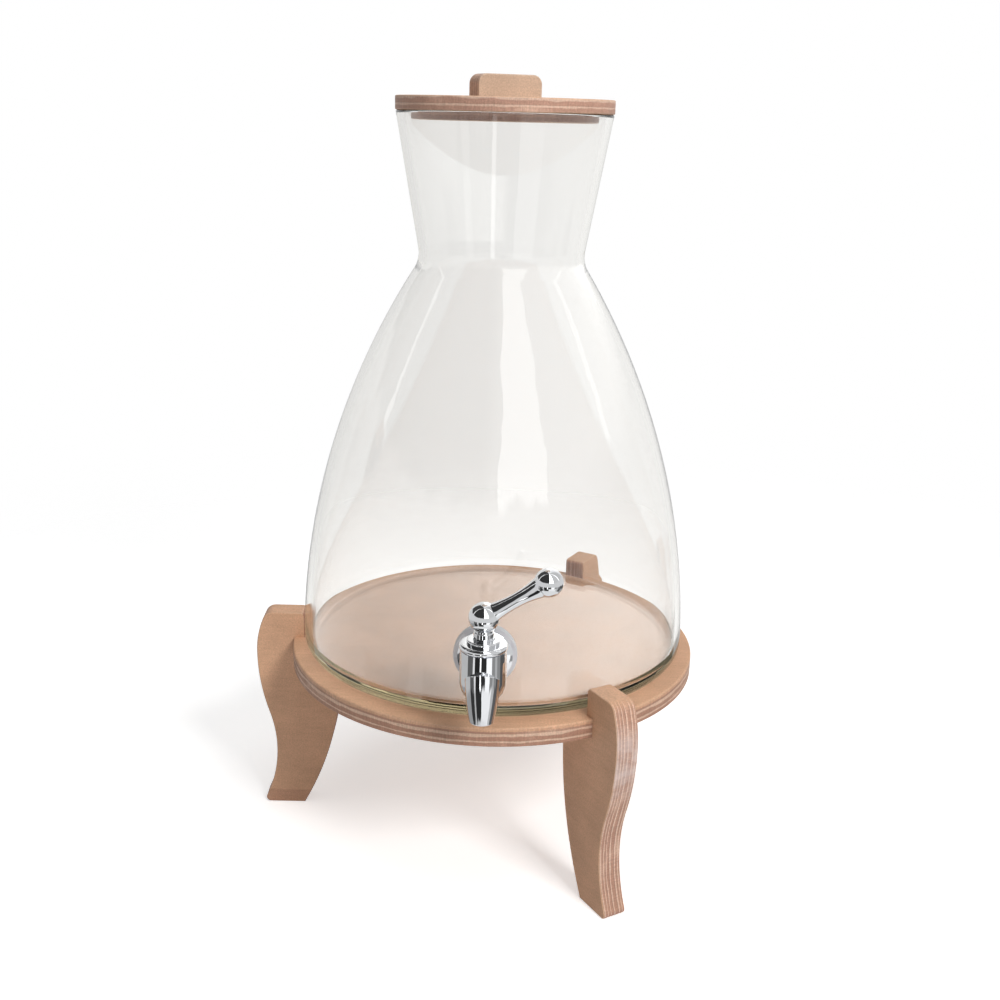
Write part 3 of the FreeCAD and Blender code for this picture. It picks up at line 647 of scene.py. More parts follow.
@dataclass(frozen=True)
class Surroundings(SharedEffect):
    """The room that chrome and glass mirror: windows and dark walls by azimuth, in layers by elevation.

    Azimuth is in degrees, 0 towards the viewer and rising to the right.
    """

    name: str = "surroundings"
    takes: tuple = (("Way", "Vector"),)
    gives: tuple = (("Brightness", "Float"),)
    above: Bands = (
        (-180.0, 0.9),
        (-152.0, 0.06),
        (-93.0, 2.0),
        (-90.0, 0.04),
        (4.0, 3.0),
        (36.0, 0.65),
        (88.0, 2.2),
        (94.0, 0.6),
        (140.0, 0.95),
    )
    below: Bands = (
        (-180.0, 0.55),
        (-78.0, 0.12),
        (-50.0, 0.85),
        (-40.0, 0.02),
        (-13.0, 2.7),
        (-8.0, 0.03),
        (18.0, 1.2),
        (46.0, 0.3),
        (62.0, 0.5),
        (74.0, 0.28),
        (92.0, 0.1),
        (144.0, 0.75),
    )
    foot: Bands = (
        (-180.0, 0.35),
        (-80.0, 0.04),
        (-52.0, 0.5),
        (-40.0, 0.03),
        (-2.0, 1.0),
        (58.0, 0.55),
        (80.0, 0.12),
        (110.0, 0.4),
    )
    level: float = 0.72  # brightness between above and below
    under: float = 0.85  # brightness straight down
    steps: tuple[float, float, float, float] = (14.0, -19.0, -31.0, -47.0)  # where the layers change
    softness: float = 1.5  # half the width of such a change
    unevenness: float = 13.0  # degrees that all of it drifts by
    drift_fineness: float = 5.0

    def draw(self, graph: Graph, given: bpy.types.NodeOutputs) -> tuple[Socket, ...]:
        """Pick the layer by elevation and the band by azimuth, both a little uneven.

        Args:
            graph: the group's tree.
            given: sockets of what the group takes.

        Returns:
            The brightness.
        """
        way = graph.node("VectorMath", {0: given["Way"]}, operation="NORMALIZE").outputs[0]
        x, y, z = graph.split(way)
        cloud = graph.noise(way, self.drift_fineness, 4.0)
        drift = graph.math("MULTIPLY", graph.math("SUBTRACT", cloud, 0.5), self.unevenness)
        turn = graph.math("DEGREES", graph.math("ARCTAN2", x, graph.math("MULTIPLY", y, -1.0)))
        turn = graph.math("ADD", turn, drift)
        rise = graph.math("ADD", graph.math("DEGREES", graph.math("ARCSINE", z)), drift)
        foot, below, above = (
            graph.bands(turn, -180.0, 180.0, stops) for stops in (self.foot, self.below, self.above)
        )
        value: object = self.under
        layers = (foot, below, self.level, above)
        for step, layer in zip(reversed(self.steps), layers):
            share = graph.spread(rise, step - self.softness, step + self.softness, 0.0, 1.0)
            value = graph.between(share, value, layer)
        return (value,)


@dataclass(frozen=True)
class Finish:
    """A surface finish, made once as a material."""

    name: str

    def material(self) -> bpy.types.Material:
        """Build the material the first time that it is asked for.

        Returns:
            The material.
        """
        made = bpy.data.materials.get(self.name)
        if made:
            return made
        made = bpy.data.materials.new(self.name)
        made.use_nodes = True
        graph = Graph(made.node_tree)
        output = graph.node("OutputMaterial")
        shader = graph.node("BsdfPrincipled")
        graph.feed(output.inputs["Surface"], shader.outputs[0])
        self.paint(graph, shader, output)
        return made

    def paint(self, graph: Graph, shader: bpy.types.Node, output: bpy.types.Node) -> None:
        """Set the shader's sockets."""
        raise NotImplementedError

    @staticmethod
    def bump(graph: Graph, shader: bpy.types.Node, height: Socket, strength: float, depth: float) -> None:
        """Raise the surface a little by a height."""
        bump = graph.node("Bump", {"Strength": strength, "Distance": depth, "Height": height})
        graph.feed(shader.inputs["Normal"], bump.outputs[0])


@dataclass(frozen=True)
class PlyFinish(Finish):
    """Plywood cut from one board: its own axes, thickness, number of plies and colours."""

    rows: tuple[Place, Place, Place] = ((1, 0, 0), (0, 1, 0), (0, 0, 1))
    start: float = 0.0  # where the board's first face lies along its third axis
    thickness: float = 0.015
    pairs: float = 6.0
    seed: float = 0.0
    top_fade: float = 0.0  # how far the stripes fade where the board's first axis faces out
    skin: float = 0.05  # the face veneer's part of the thickness
    grain: Place = (30.0, 420.0, 420.0)  # fineness of the grain along the board's axes
    veneer: Colour = (0.62, 0.365, 0.225, 1.0)
    pale: Colour = (0.70, 0.50, 0.385, 1.0)
    end_grain: Colour = (0.45, 0.245, 0.175, 1.0)
    glue: Colour = (0.27, 0.115, 0.085, 1.0)
    # colour of the sanded edges: partly wear, partly a painted highlight
    worn_and_sheen: Colour = (0.72, 0.52, 0.38, 1.0)
    wear_and_sheen: float = 0.35  # how much of that colour a sanded edge takes, partly wear and partly painted highlight
    relief: float = 0.35
    relief_depth: float = 0.0003

    def paint(self, graph: Graph, shader: bpy.types.Node, output: bpy.types.Node) -> None:
        """Lay the plies in the board's own axes and lighten its sanded edges.

        Args:
            graph: the material's tree.
            shader: its surface shader.
            output: its output node.
        """
        turn = Matrix(self.rows).to_euler("XYZ")
        coordinates = graph.node("TexCoord")
        inputs = {"Vector": coordinates.outputs["Object"], "Location": (0, 0, -self.start), "Rotation": turn}
        place = graph.node("Mapping", inputs, vector_type="POINT").outputs[0]
        inputs = {"Vector": coordinates.outputs["Normal"], "Rotation": turn}
        facing = graph.node("Mapping", inputs, vector_type="VECTOR").outputs[0]
        values = {"Place": place, "Facing": facing, "Thickness": self.thickness, "Pairs": self.pairs}
        values |= {"Seed": self.seed, "Top Fade": self.top_fade, "Veneer": self.veneer, "Pale": self.pale}
        values |= {"Skin": self.skin, "Grain": self.grain, "End Grain": self.end_grain, "Glue": self.glue}
        layers = graph.group(PlyLayers().tree(), values).outputs
        wear_and_sheen = graph.group(EasedEdge().tree(), {"Place": place, "Facing": facing}).outputs["Mask"]
        # sanded edges lightened, partly as wear and partly as a painted highlight
        colour = graph.mix(graph.math("MULTIPLY", wear_and_sheen, self.wear_and_sheen), layers["Color"], self.worn_and_sheen)
        graph.feed(shader.inputs["Base Color"], self.with_painted_light_and_band(graph, colour, place, facing))
        graph.feed(shader.inputs["Roughness"], layers["Roughness"])
        self.bump(graph, shader, layers["Height"], self.relief, self.relief_depth)

    def with_painted_light_and_band(self, graph: Graph, colour: Socket, place: Socket, facing: Socket) -> Socket:
        """Return the colour with a leg's painted light and foot band, none on a plain board."""
        return colour


@dataclass(frozen=True)
class LegFinish(PlyFinish):
    """Plywood of a leg, whose first axis points up and whose second points at the stand's middle."""

    foot_mark: float = 0.0  # height of a darker band on the foot

    def with_painted_light_and_band(self, graph: Graph, colour: Socket, place: Socket, facing: Socket) -> Socket:
        """Return the colour with the painted sheen on the belly, the painted shade on the inner edge and the
        darker band on the foot.
        """
        inputs = {"Place": place, "Facing": facing, "Color": colour, "Foot Mark": self.foot_mark}
        return graph.group(LegPaintedLightAndBand().tree(), inputs).outputs["Color"]


@dataclass(frozen=True)
class GlassFinish(Finish):
    """Blown glass: clear, very faintly uneven, greenish where it is thick."""

    tint: Colour = (0.983, 0.983, 0.981, 1.0)
    depth_tint: Colour = (0.72, 0.68, 0.55, 1.0)
    density: float = 18.0
    ior: float = 1.5
    mark_size: float = 22.0  # fineness of the wipe marks
    mark_roughness: float = 0.05
    waviness: float = 0.035
    wave_depth: float = 0.004

    def paint(self, graph: Graph, shader: bpy.types.Node, output: bpy.types.Node) -> None:
        """Make the shader clear and let wipe marks dull it slightly.

        Args:
            graph: the material's tree.
            shader: its surface shader.
            output: its output node.
        """
        graph.feed(shader.inputs["Base Color"], self.tint)
        graph.feed(shader.inputs["Transmission Weight"], 1.0)
        graph.feed(shader.inputs["IOR"], self.ior)
        place = graph.node("TexCoord").outputs["Object"]
        marks = graph.group(Smudge().tree(), {"Place": place, "Size": self.mark_size}).outputs
        graph.feed(shader.inputs["Roughness"], graph.math("MULTIPLY", marks["Mask"], self.mark_roughness))
        self.bump(graph, shader, marks["Height"], self.waviness, self.wave_depth)
        depth = graph.node("VolumeAbsorption", {"Color": self.depth_tint, "Density": self.density})
        graph.feed(output.inputs["Volume"], depth.outputs[0])


@dataclass(frozen=True)
class ChromeFinish(Finish):
    """Bright plating with faint wipe marks."""

    tint: Colour = (0.82, 0.83, 0.85, 1.0)
    mark_size: float = 90.0  # fineness of the wipe marks
    mark_shade: float = 0.9  # brightness left in one
    mark_roughness: float = 0.10
    roughness: float = 0.03
    waviness: float = 0.08
    wave_depth: float = 0.0004

    def paint(self, graph: Graph, shader: bpy.types.Node, output: bpy.types.Node) -> None:
        """Make the shader a mirror dulled in places.

        Args:
            graph: the material's tree.
            shader: its surface shader.
            output: its output node.
        """
        graph.feed(shader.inputs["Metallic"], 1.0)
        place = graph.node("TexCoord").outputs["Object"]
        marks = graph.group(Smudge().tree(), {"Place": place, "Size": self.mark_size}).outputs
        dulled = tuple(channel * self.mark_shade for channel in self.tint[:3]) + (1.0,)
        graph.feed(shader.inputs["Base Color"], graph.mix(marks["Mask"], self.tint, dulled))
        roughness = graph.math("MULTIPLY_ADD", marks["Mask"], self.mark_roughness, self.roughness)
        graph.feed(shader.inputs["Roughness"], roughness)
        self.bump(graph, shader, marks["Height"], self.waviness, self.wave_depth)


@dataclass(frozen=True)
class MouldedFinish(Finish):
    """Moulded rubber, silicone or plastic with a fine skin."""

    base: Colour = (0.8, 0.8, 0.8, 1.0)
    dark: Colour = (0.7, 0.7, 0.7, 1.0)
    roughness: float = 0.5
    clear: float = 0.0  # how much light goes through
    cloud_size: float = 180.0
    skin_size: float = 2400.0

    def paint(self, graph: Graph, shader: bpy.types.Node, output: bpy.types.Node) -> None:
        """Cloud the colour and grain the skin.

        Args:
            graph: the material's tree.
            shader: its surface shader.
            output: its output node.
        """
        place = graph.node("TexCoord").outputs["Object"]
        cloud = graph.noise(place, self.cloud_size, 3.0)
        graph.feed(shader.inputs["Base Color"], graph.mix(cloud, self.base, self.dark))
        roughness = graph.math("MULTIPLY_ADD", cloud, 0.2, self.roughness - 0.1)
        graph.feed(shader.inputs["Roughness"], roughness)
        graph.feed(shader.inputs["Transmission Weight"], self.clear)
        self.bump(graph, shader, graph.noise(place, self.skin_size, 2.0), 0.15, 0.0002)


@dataclass(frozen=True)
class SteelFinish(Finish):
    """Zinc-plated steel with a fine brushed grain."""

    tint: Colour = (0.62, 0.62, 0.60, 1.0)
    shade: float = 0.75  # brightness of the darker patches
    cloud_size: float = 900.0
    roughness: float = 0.25

    def paint(self, graph: Graph, shader: bpy.types.Node, output: bpy.types.Node) -> None:
        """Vary the plating's colour and gloss.

        Args:
            graph: the material's tree.
            shader: its surface shader.
            output: its output node.
        """
        graph.feed(shader.inputs["Metallic"], 1.0)
        place = graph.node("TexCoord").outputs["Object"]
        cloud = graph.noise(place, self.cloud_size, 3.0)
        darker = tuple(channel * self.shade for channel in self.tint[:3]) + (1.0,)
        graph.feed(shader.inputs["Base Color"], graph.mix(cloud, self.tint, darker))
        graph.feed(shader.inputs["Roughness"], graph.math("MULTIPLY_ADD", cloud, 0.2, self.roughness))
        self.bump(graph, shader, cloud, 0.2, 0.0001)


@dataclass
class Stand:
    """Plywood disc on three curved legs."""

    disc_pairs: float = 3.0
    leg_pairs: float = 6.0
    leg_thick: float = 0.015
    leg_names: tuple[str, ...] = ("leg_left", "leg_right", "leg_rear")
    first_leg: float = math.radians(182)
    foot_mark: float = 0.0095  # the first leg's

    def dress(self) -> None:
        """Give the disc and each leg plywood laid in its own axes."""
        low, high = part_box("stand_disc")
        disc = PlyFinish(
            "ply_disc",
            start=low.z,
            thickness=high.z - low.z,
            pairs=self.disc_pairs,
            seed=4.0,
            skin=0.22,
            wear_and_sheen=0.08,
            pale=(0.65, 0.445, 0.325, 1.0),
            end_grain=(0.41, 0.22, 0.15, 1.0),
        )
        dress("stand_disc", disc.material())
        for order, name in enumerate(self.leg_names):
            angle = self.first_leg + order * math.tau / len(self.leg_names)
            radial = (math.cos(angle), math.sin(angle), 0.0)
            sideways = (math.sin(angle), -math.cos(angle), 0.0)
            board = LegFinish(
                f"ply_{name}",
                rows=((0.0, 0.0, 1.0), tuple(-part for part in radial), sideways),
                start=-self.leg_thick / 2,
                thickness=self.leg_thick,
                pairs=self.leg_pairs,
                top_fade=0.95,
                seed=11.0 + order,
                grain=(420.0, 60.0, 420.0),
                foot_mark=self.foot_mark if order == 0 else 0.0,
            )
            dress(name, board.material())


@dataclass
class Lid:
    """Plywood lid with its locating disc, grip and screws."""

    turn: float = math.radians(25)
    handle_thick: float = 0.015

    def dress(self) -> None:
        """Give each board plywood laid in its own axes, and the screws their plating."""
        along = (math.cos(self.turn), math.sin(self.turn), 0.0)
        across = (-math.sin(self.turn), math.cos(self.turn), 0.0)
        up = (0.0, 0.0, 1.0)
        woods = {
            "lid_disc": ((0.48, 0.275, 0.20, 1.0), (0.66, 0.45, 0.34, 1.0), (0.62, 0.365, 0.225, 1.0)),
            "lid_plug": ((0.50, 0.31, 0.245, 1.0), (0.60, 0.395, 0.31, 1.0), (0.80, 0.64, 0.50, 1.0)),
        }
        for order, (name, (end_grain, pale, veneer)) in enumerate(woods.items()):
            low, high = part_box(name)
            board = PlyFinish(
                f"ply_{name}",
                rows=(along, across, up),
                start=low.z,
                thickness=high.z - low.z,
                pairs=2.0 - order,
                seed=21.0 + order,
                veneer=veneer,
                end_grain=end_grain,
                pale=pale,
            )
            dress(name, board.material())
        grip = PlyFinish(
            "ply_grip",
            rows=(along, up, tuple(-part for part in across)),
            start=-self.handle_thick / 2,
            thickness=self.handle_thick,
            pairs=4.0,
            seed=31.0,
            veneer=(0.58, 0.43, 0.32, 1.0),
            end_grain=(0.56, 0.36, 0.265, 1.0),
        )
        dress("lid_handle", grip.material())
        dress("lid_screws", SteelFinish("screw_zinc").material())


@dataclass
class Vessel:
    """Bell-shaped glass with a flared neck and a hole for the tap, heights from its underside."""

    bottom: float = 0.1215  # a hair above the disc, so that light gets between them
    height: float = 0.3319
    heel: float = 0.1226
    sweep: float = 0.450
    throat: float = 0.2464
    mouth: float = 0.064
    wall: float = 0.004
    base: float = 0.007
    heel_round: float = 0.009
    inner_heel: float = 0.006
    rim_round: float = 0.0012
    throat_ease: float = 0.006
    hole: float = 0.0083
    hole_height: float = 0.0412
    drill_from: float = 0.09
    drill_to: float = 0.15
    steps: int = 40
    neck_steps: int = 12
    round_steps: int = 160

    def radius(self, height: float) -> float:
        """Return the outer radius at a height below the throat."""
        return self.heel - self.sweep + math.sqrt(self.sweep**2 - height**2)

    def flank(self, start: float, inset: float) -> list[Corner]:
        """Draw one side of the wall up to the throat.

        Args:
            start: height where it begins, which gets no corner itself.
            inset: distance in from the outer side.

        Returns:
            The corners in order.
        """
        rises = [start + (self.throat - start) * step / self.steps for step in range(self.steps)]
        corners = [Corner(self.radius(rise) - inset, self.bottom + rise) for rise in rises]
        throat = Corner(self.radius(self.throat) - inset, self.bottom + self.throat, self.throat_ease)
        return [*corners[1:], throat]

    def neck(self, inset: float) -> list[Corner]:
        """Draw one side of the neck above the throat, in even steps up to the rim.

        Args:
            inset: distance in from the outer side.

        Returns:
            The corners in order.
        """
        low, high = self.radius(self.throat) - inset, self.mouth - inset
        shares = [step / self.neck_steps for step in range(1, self.neck_steps)]
        rise = self.height - self.throat
        corners = [Corner(low + (high - low) * s, self.bottom + self.throat + rise * s) for s in shares]
        return [*corners, Corner(high, self.bottom + self.height, self.rim_round)]

    def outside(self) -> list[Corner]:
        """Return the outer side from the underside's centre to the rim."""
        heel = Corner(self.radius(self.heel_round), self.bottom, self.heel_round)
        return [Corner(0.0, self.bottom), heel, *self.flank(self.heel_round, 0.0), *self.neck(0.0)]

    def build(self) -> None:
        """Turn the wall, drill it for the tap and hang it in the frame."""
        floor = self.bottom + self.base
        inner = [*self.flank(self.base + self.inner_heel, self.wall), *self.neck(self.wall)][::-1]
        heel = Corner(self.radius(self.base) - self.wall, floor, self.inner_heel)
        section = [*self.outside(), *inner, heel, Corner(0.0, floor)]
        glass = turned("glass_bell", section, Spindle(), self.round_steps)
        drill_axis = Spindle((0.0, 0.0, self.bottom + self.hole_height), (0.0, -1.0, 0.0), (1.0, 0.0, 0.0))
        drill = bar(self.hole, self.drill_from, self.drill_to)
        combine(glass, turned("drill", drill, drill_axis, HOLE_STEPS), Joining.CUT)
        glass.visible_shadow = False  # lamps shine through it
        deliver(glass, Body.VESSEL, GlassFinish("blown_glass").material(), "glass_vessel")


@dataclass
class Tap:
    """Chrome lever tap with its seals and nut, measured from where its stem and shank axes cross."""

    centre: Place = (0.0, -0.148911, 0.1626)
    barrel: float = 0.0129
    barrel_top: float = 0.0126
    barrel_rise: float = 0.0155
    barrel_belly: float = -0.002
    barrel_foot: float = -0.0135
    bowl: float = 0.0075
    chamber: float = 0.008
    chamber_foot: float = -0.011
    seat: float = 0.010
    seat_rise: float = 0.009
    spout_ahead: float = 0.0058
    spout_crest: float = 0.0066
    spout_slant: float = math.radians(37)
    spout_top: float = 0.00928
    spout_tip: float = 0.0063
    spout_swell: float = 0.150
    spout_broad: float = 1.07  # the spout is a little wider than it is deep
    spout_foot: float = -0.0246
    spout_bore: float = 0.0048
    spout_lip: float = 0.0006
    spout_reach: float = 0.00015  # how far the spout's bore goes into the chamber
    neck: float = 0.0075
    flange: float = 0.0155
    flange_thick: float = 0.003
    flange_rim: float = 0.0011
    flange_land: float = 0.002
    flange_dome: float = 0.016
    shank: float = 0.0078
    shank_bore: float = 0.0045
    thread_pitch: float = 0.0018
    thread_depth: float = 0.0006
    thread_turns: int = 7
    cap: float = 0.0132
    cap_thick: float = 0.0038
    cap_round: float = 0.0016
    cap_bore: float = 0.0057
    boss: float = 0.0092
    boss_rise: float = 0.0022
    spigot: float = 0.0099
    spigot_depth: float = 0.0036
    stem: float = 0.0056
    stem_foot: float = 0.0109
    tenon: float = 0.006
    tenon_sink: float = 0.00075
    tenon_ease: float = 0.0003
    collar_rise: float = 0.0256
    collar_ease: float = 0.0004
    waist: float = 0.005
    ball: float = 0.0085
    ball_rise: float = 0.0335
    tilt: float = math.radians(32.0)
    arm_length: float = 0.0397
    rod: float = 0.0051
    rod_end: float = 0.0059
    rod_hollow: float = 0.060
    knob: float = 0.0079
    gasket: float = 0.018
    gasket_ease: float = 0.0008
    nut_flats: float = 0.023
    nut_turn: float = math.radians(30)
    nut_slip: float = 0.00005
    nut_steps: int = 96
    lip_steps: int = 5
    dome_steps: int = 10
    bowl_steps: int = 14
    sweep_steps: int = 16
    ball_steps: int = 30

    def spindle(self, ahead: float = 0.0, rise: float = 0.0) -> Spindle:
        """Return an upright axis, some way ahead of the stem."""
        x, y, z = self.centre
        return Spindle((x, y - ahead, z + rise))

    def shank_spindle(self) -> Spindle:
        """Return the shank's axis, which points into the vessel."""
        return Spindle(self.centre, (0.0, 1.0, 0.0))

    def behind(self, y: float) -> float:
        """Return how far a place in the frame lies behind the stem's axis."""
        return y - self.centre[1]

    def casting(self) -> bpy.types.Object:
        """Turn barrel, spout, flange and threaded shank, and cut the water way through them.

        Returns:
            The tap's body.
        """
        run = self.barrel - self.bowl
        fall = self.barrel_belly - self.barrel_foot
        bowl = arc(
            Corner(self.bowl, self.barrel_foot),
            Corner(self.barrel, self.barrel_belly),
            (run**2 + fall**2) / (2 * run),
            True,
            self.bowl_steps,
        )
        top = [Corner(self.barrel_top, self.barrel_rise), Corner(0.0, self.barrel_rise)]
        body = turned("tap_casting", [Corner(0.0, self.barrel_foot), *bowl, *top], self.spindle())
        combine(body, self.spout(), Joining.ADD)
        combine(body, self.shank_and_flange(), Joining.ADD)
        well = [
            Corner(0.0, self.chamber_foot),
            Corner(self.chamber, self.chamber_foot),
            Corner(self.chamber, self.seat_rise),
            Corner(self.seat, self.seat_rise),
            Corner(self.seat, 2 * self.barrel_rise),
            Corner(0.0, 2 * self.barrel_rise),
        ]
        combine(body, turned("well", well, self.spindle(), HOLE_STEPS), Joining.CUT)
        outlet = bar(self.spout_bore, 2 * self.spout_foot, self.chamber_foot + self.spout_reach)
        combine(body, turned("outlet", outlet, self.spindle(self.spout_ahead), HOLE_STEPS), Joining.CUT)
        inlet = bar(self.shank_bore, 0.0, 2 * self.behind(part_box("tap_body")[1].y))
        combine(body, turned("inlet", inlet, self.shank_spindle(), HOLE_STEPS), Joining.CUT)
        return body

    def spout(self) -> bpy.types.Object:
        """Turn the swelled spout, broaden it and cut its top on a slant down to the barrel.

        Returns:
            The spout.
        """
        foot = Corner(self.spout_tip - self.spout_lip, self.spout_foot)
        lip = Corner(self.spout_tip, self.spout_foot + self.spout_lip)
        crest = Corner(self.spout_top, self.spout_crest)
        section = [
            Corner(0.0, self.spout_foot),
            *arc(foot, lip, self.spout_lip, True, self.lip_steps),
            *arc(lip, crest, self.spout_swell, True, self.sweep_steps)[1:],
            Corner(0.0, self.spout_crest),
        ]
        spindle = self.spindle(self.spout_ahead)
        spout = turned("spout", section, spindle)
        front = Vector(spindle.foot) + Vector((0.0, -self.spout_top, self.spout_crest))
        upward = Vector((0.0, math.sin(self.spout_slant), math.cos(self.spout_slant)))
        make_active(spout)
        bpy.ops.object.mode_set(mode="EDIT")
        bpy.ops.mesh.select_all(action="SELECT")
        bpy.ops.transform.resize(value=(self.spout_broad, 1.0, 1.0), center_override=spindle.foot)
        bpy.ops.mesh.bisect(plane_co=front, plane_no=upward, use_fill=True, clear_outer=True)
        bpy.ops.object.mode_set(mode="OBJECT")
        round_edges(spout, lambda point: abs((point - front).dot(upward)) < NEAR, self.spout_lip / 2)
        return spout

    def shank_and_flange(self) -> bpy.types.Object:
        """Turn the neck, the domed flange and the shank with its ring thread.

        Returns:
            The three as one solid.
        """
        face = self.behind(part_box("outer_gasket")[0].y)
        end = self.behind(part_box("tap_body")[1].y)
        front = face - self.flange_thick
        shoulder = Corner(self.flange, face - self.flange_rim)
        land = Corner(self.neck + self.flange_land, front)
        dome = arc(land, shoulder, self.flange_dome, True, self.dome_steps)
        section = [Corner(0.0, 0.0), Corner(self.neck, 0.0), Corner(self.neck, front), *dome]
        section += [Corner(self.flange, face), Corner(self.shank, face)]
        for turn in range(self.thread_turns, 0, -1):
            middle = end - turn * self.thread_pitch
            section.append(Corner(self.shank, middle - self.thread_depth))
            section.append(Corner(self.shank - self.thread_depth, middle))
            section.append(Corner(self.shank, middle + self.thread_depth))
        section.append(Corner(self.shank, end - self.thread_depth))
        section.append(Corner(self.shank - self.thread_depth, end))
        section.append(Corner(0.0, end))
        return turned("shank", section, self.shank_spindle())

    def bonnet(self) -> bpy.types.Object:
        """Turn the cap on the barrel, with the boss that guides the stem.

        Returns:
            The cap.
        """
        top = self.barrel_rise + self.cap_thick
        section = [
            Corner(self.cap_bore, self.barrel_rise - self.spigot_depth),
            Corner(self.spigot, self.barrel_rise - self.spigot_depth),
            Corner(self.spigot, self.barrel_rise),
            Corner(self.cap, self.barrel_rise, self.cap_round),
            Corner(self.cap, top, self.cap_round),
            Corner(self.boss, top),
            Corner(self.boss, top + self.boss_rise, self.cap_round / 2),
            Corner(self.cap_bore, top + self.boss_rise, self.cap_round / 4),
        ]
        return turned("tap_cap", [*section, section[0]], self.spindle())

    def lever(self) -> bpy.types.Object:
        """Join the stem with its ball, the tilted arm with its knob and the square tenon.

        Returns:
            The lever.
        """
        meet = self.ball_rise - math.sqrt(self.ball**2 - self.waist**2)
        crown = Corner(0.0, self.ball_rise + self.ball)
        section = [
            Corner(0.0, self.stem_foot),
            Corner(self.stem, self.stem_foot),
            Corner(self.stem, self.collar_rise, self.collar_ease),
            Corner(self.waist, self.collar_rise),
            *arc(Corner(self.waist, meet), crown, self.ball, True, self.ball_steps),
        ]
        lever = turned("tap_arm", section, self.spindle())
        begin = math.sqrt(self.ball**2 - self.rod**2)
        finish = self.arm_length - math.sqrt(self.knob**2 - self.rod_end**2)
        tip = Corner(0.0, self.arm_length + self.knob)
        root, end = Corner(self.rod, begin), Corner(self.rod_end, finish)
        hollow = arc(root, end, self.rod_hollow, False, self.sweep_steps)
        knob = arc(end, tip, self.knob, True, self.ball_steps)
        along = (math.cos(self.tilt), 0.0, math.sin(self.tilt))
        side = (-math.sin(self.tilt), 0.0, math.cos(self.tilt))
        axis = Spindle(self.spindle(rise=self.ball_rise).foot, along, side)
        arm = turned("arm", [Corner(0.0, 0.0), Corner(self.rod, 0.0), *hollow, *knob[1:]], axis)
        combine(lever, arm, Joining.ADD)
        combine(lever, self.square_tenon(), Joining.ADD)
        return lever

    def square_tenon(self) -> bpy.types.Object:
        """Model the square end that turns the plug, sunk a little into the stem, its edges eased.

        Returns:
            The tenon.
        """
        clear_selection()
        x, y, z = self.centre
        middle = z + self.stem_foot - self.tenon / 2
        bpy.ops.mesh.primitive_cube_add(size=self.tenon, location=(x, y, middle))
        tenon = bpy.context.object
        bpy.ops.object.transform_apply(location=True)
        bpy.ops.object.mode_set(mode="EDIT")
        bpy.ops.mesh.select_all(action="SELECT")
        bpy.ops.transform.translate(value=(0.0, 0.0, self.tenon_sink))
        bpy.ops.mesh.bevel(offset=self.tenon_ease, segments=2, affect="EDGES")
        bpy.ops.object.mode_set(mode="OBJECT")
        return tenon

    def seal(self, vessel: Vessel) -> bpy.types.Object:
        """Turn the soft ring between flange and glass and cut it to the curve of the glass.

        Args:
            vessel: the glass that it lies on.

        Returns:
            The ring.
        """
        face = self.behind(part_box("outer_gasket")[0].y)
        back = self.behind(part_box("outer_gasket")[1].y) + self.flange_rim
        bore = vessel.hole
        section = [
            Corner(bore, face),
            Corner(self.gasket, face, self.gasket_ease),
            Corner(self.gasket, back),
            Corner(bore, back),
        ]
        ring = turned("gasket_ring", [*section, section[0]], self.shank_spindle())
        glass = [*vessel.outside(), Corner(0.0, vessel.bottom + vessel.height)]
        combine(ring, turned("glass_form", glass, Spindle(), vessel.round_steps), Joining.CUT)
        return ring

    def nut(self) -> bpy.types.Object:
        """Model the hexagon nut inside the glass, chamfered on both faces and bored.

        Returns:
            The nut.
        """
        low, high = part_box("lock_nut")
        middle = (low.y + high.y) / 2
        thick = high.y - low.y
        corner = self.nut_flats / math.sqrt(3)
        clear_selection()
        x, _, z = self.centre
        bpy.ops.mesh.primitive_cylinder_add(vertices=6, radius=corner, depth=thick, location=(x, middle, z))
        nut = bpy.context.object
        nut.name = "hexagon_nut"
        nut.data.name = "hexagon_nut"
        nut.rotation_euler = (math.pi / 2, self.nut_turn, 0.0)
        bpy.ops.object.transform_apply(location=True, rotation=True)
        near, far = self.behind(low.y), self.behind(high.y)
        slope = corner - self.nut_flats / 2
        turned_nut = [
            Corner(0.0, near),
            Corner(self.nut_flats / 2, near),
            Corner(corner, near + slope / 2),
            Corner(corner, far - slope / 2),
            Corner(self.nut_flats / 2, far),
            Corner(0.0, far),
        ]
        combine(nut, turned("nut_form", turned_nut, self.shank_spindle(), self.nut_steps), Joining.KEEP)
        bore = self.shank + self.nut_slip
        lead = self.thread_depth
        hole = [
            Corner(0.0, near - lead),
            Corner(bore + 2 * lead, near - lead),
            Corner(bore, near + lead),
            Corner(bore, far - lead),
            Corner(bore + 2 * lead, far + lead),
            Corner(0.0, far + lead),
        ]
        combine(nut, turned("nut_bore", hole, self.shank_spindle(), HOLE_STEPS), Joining.CUT)
        return nut

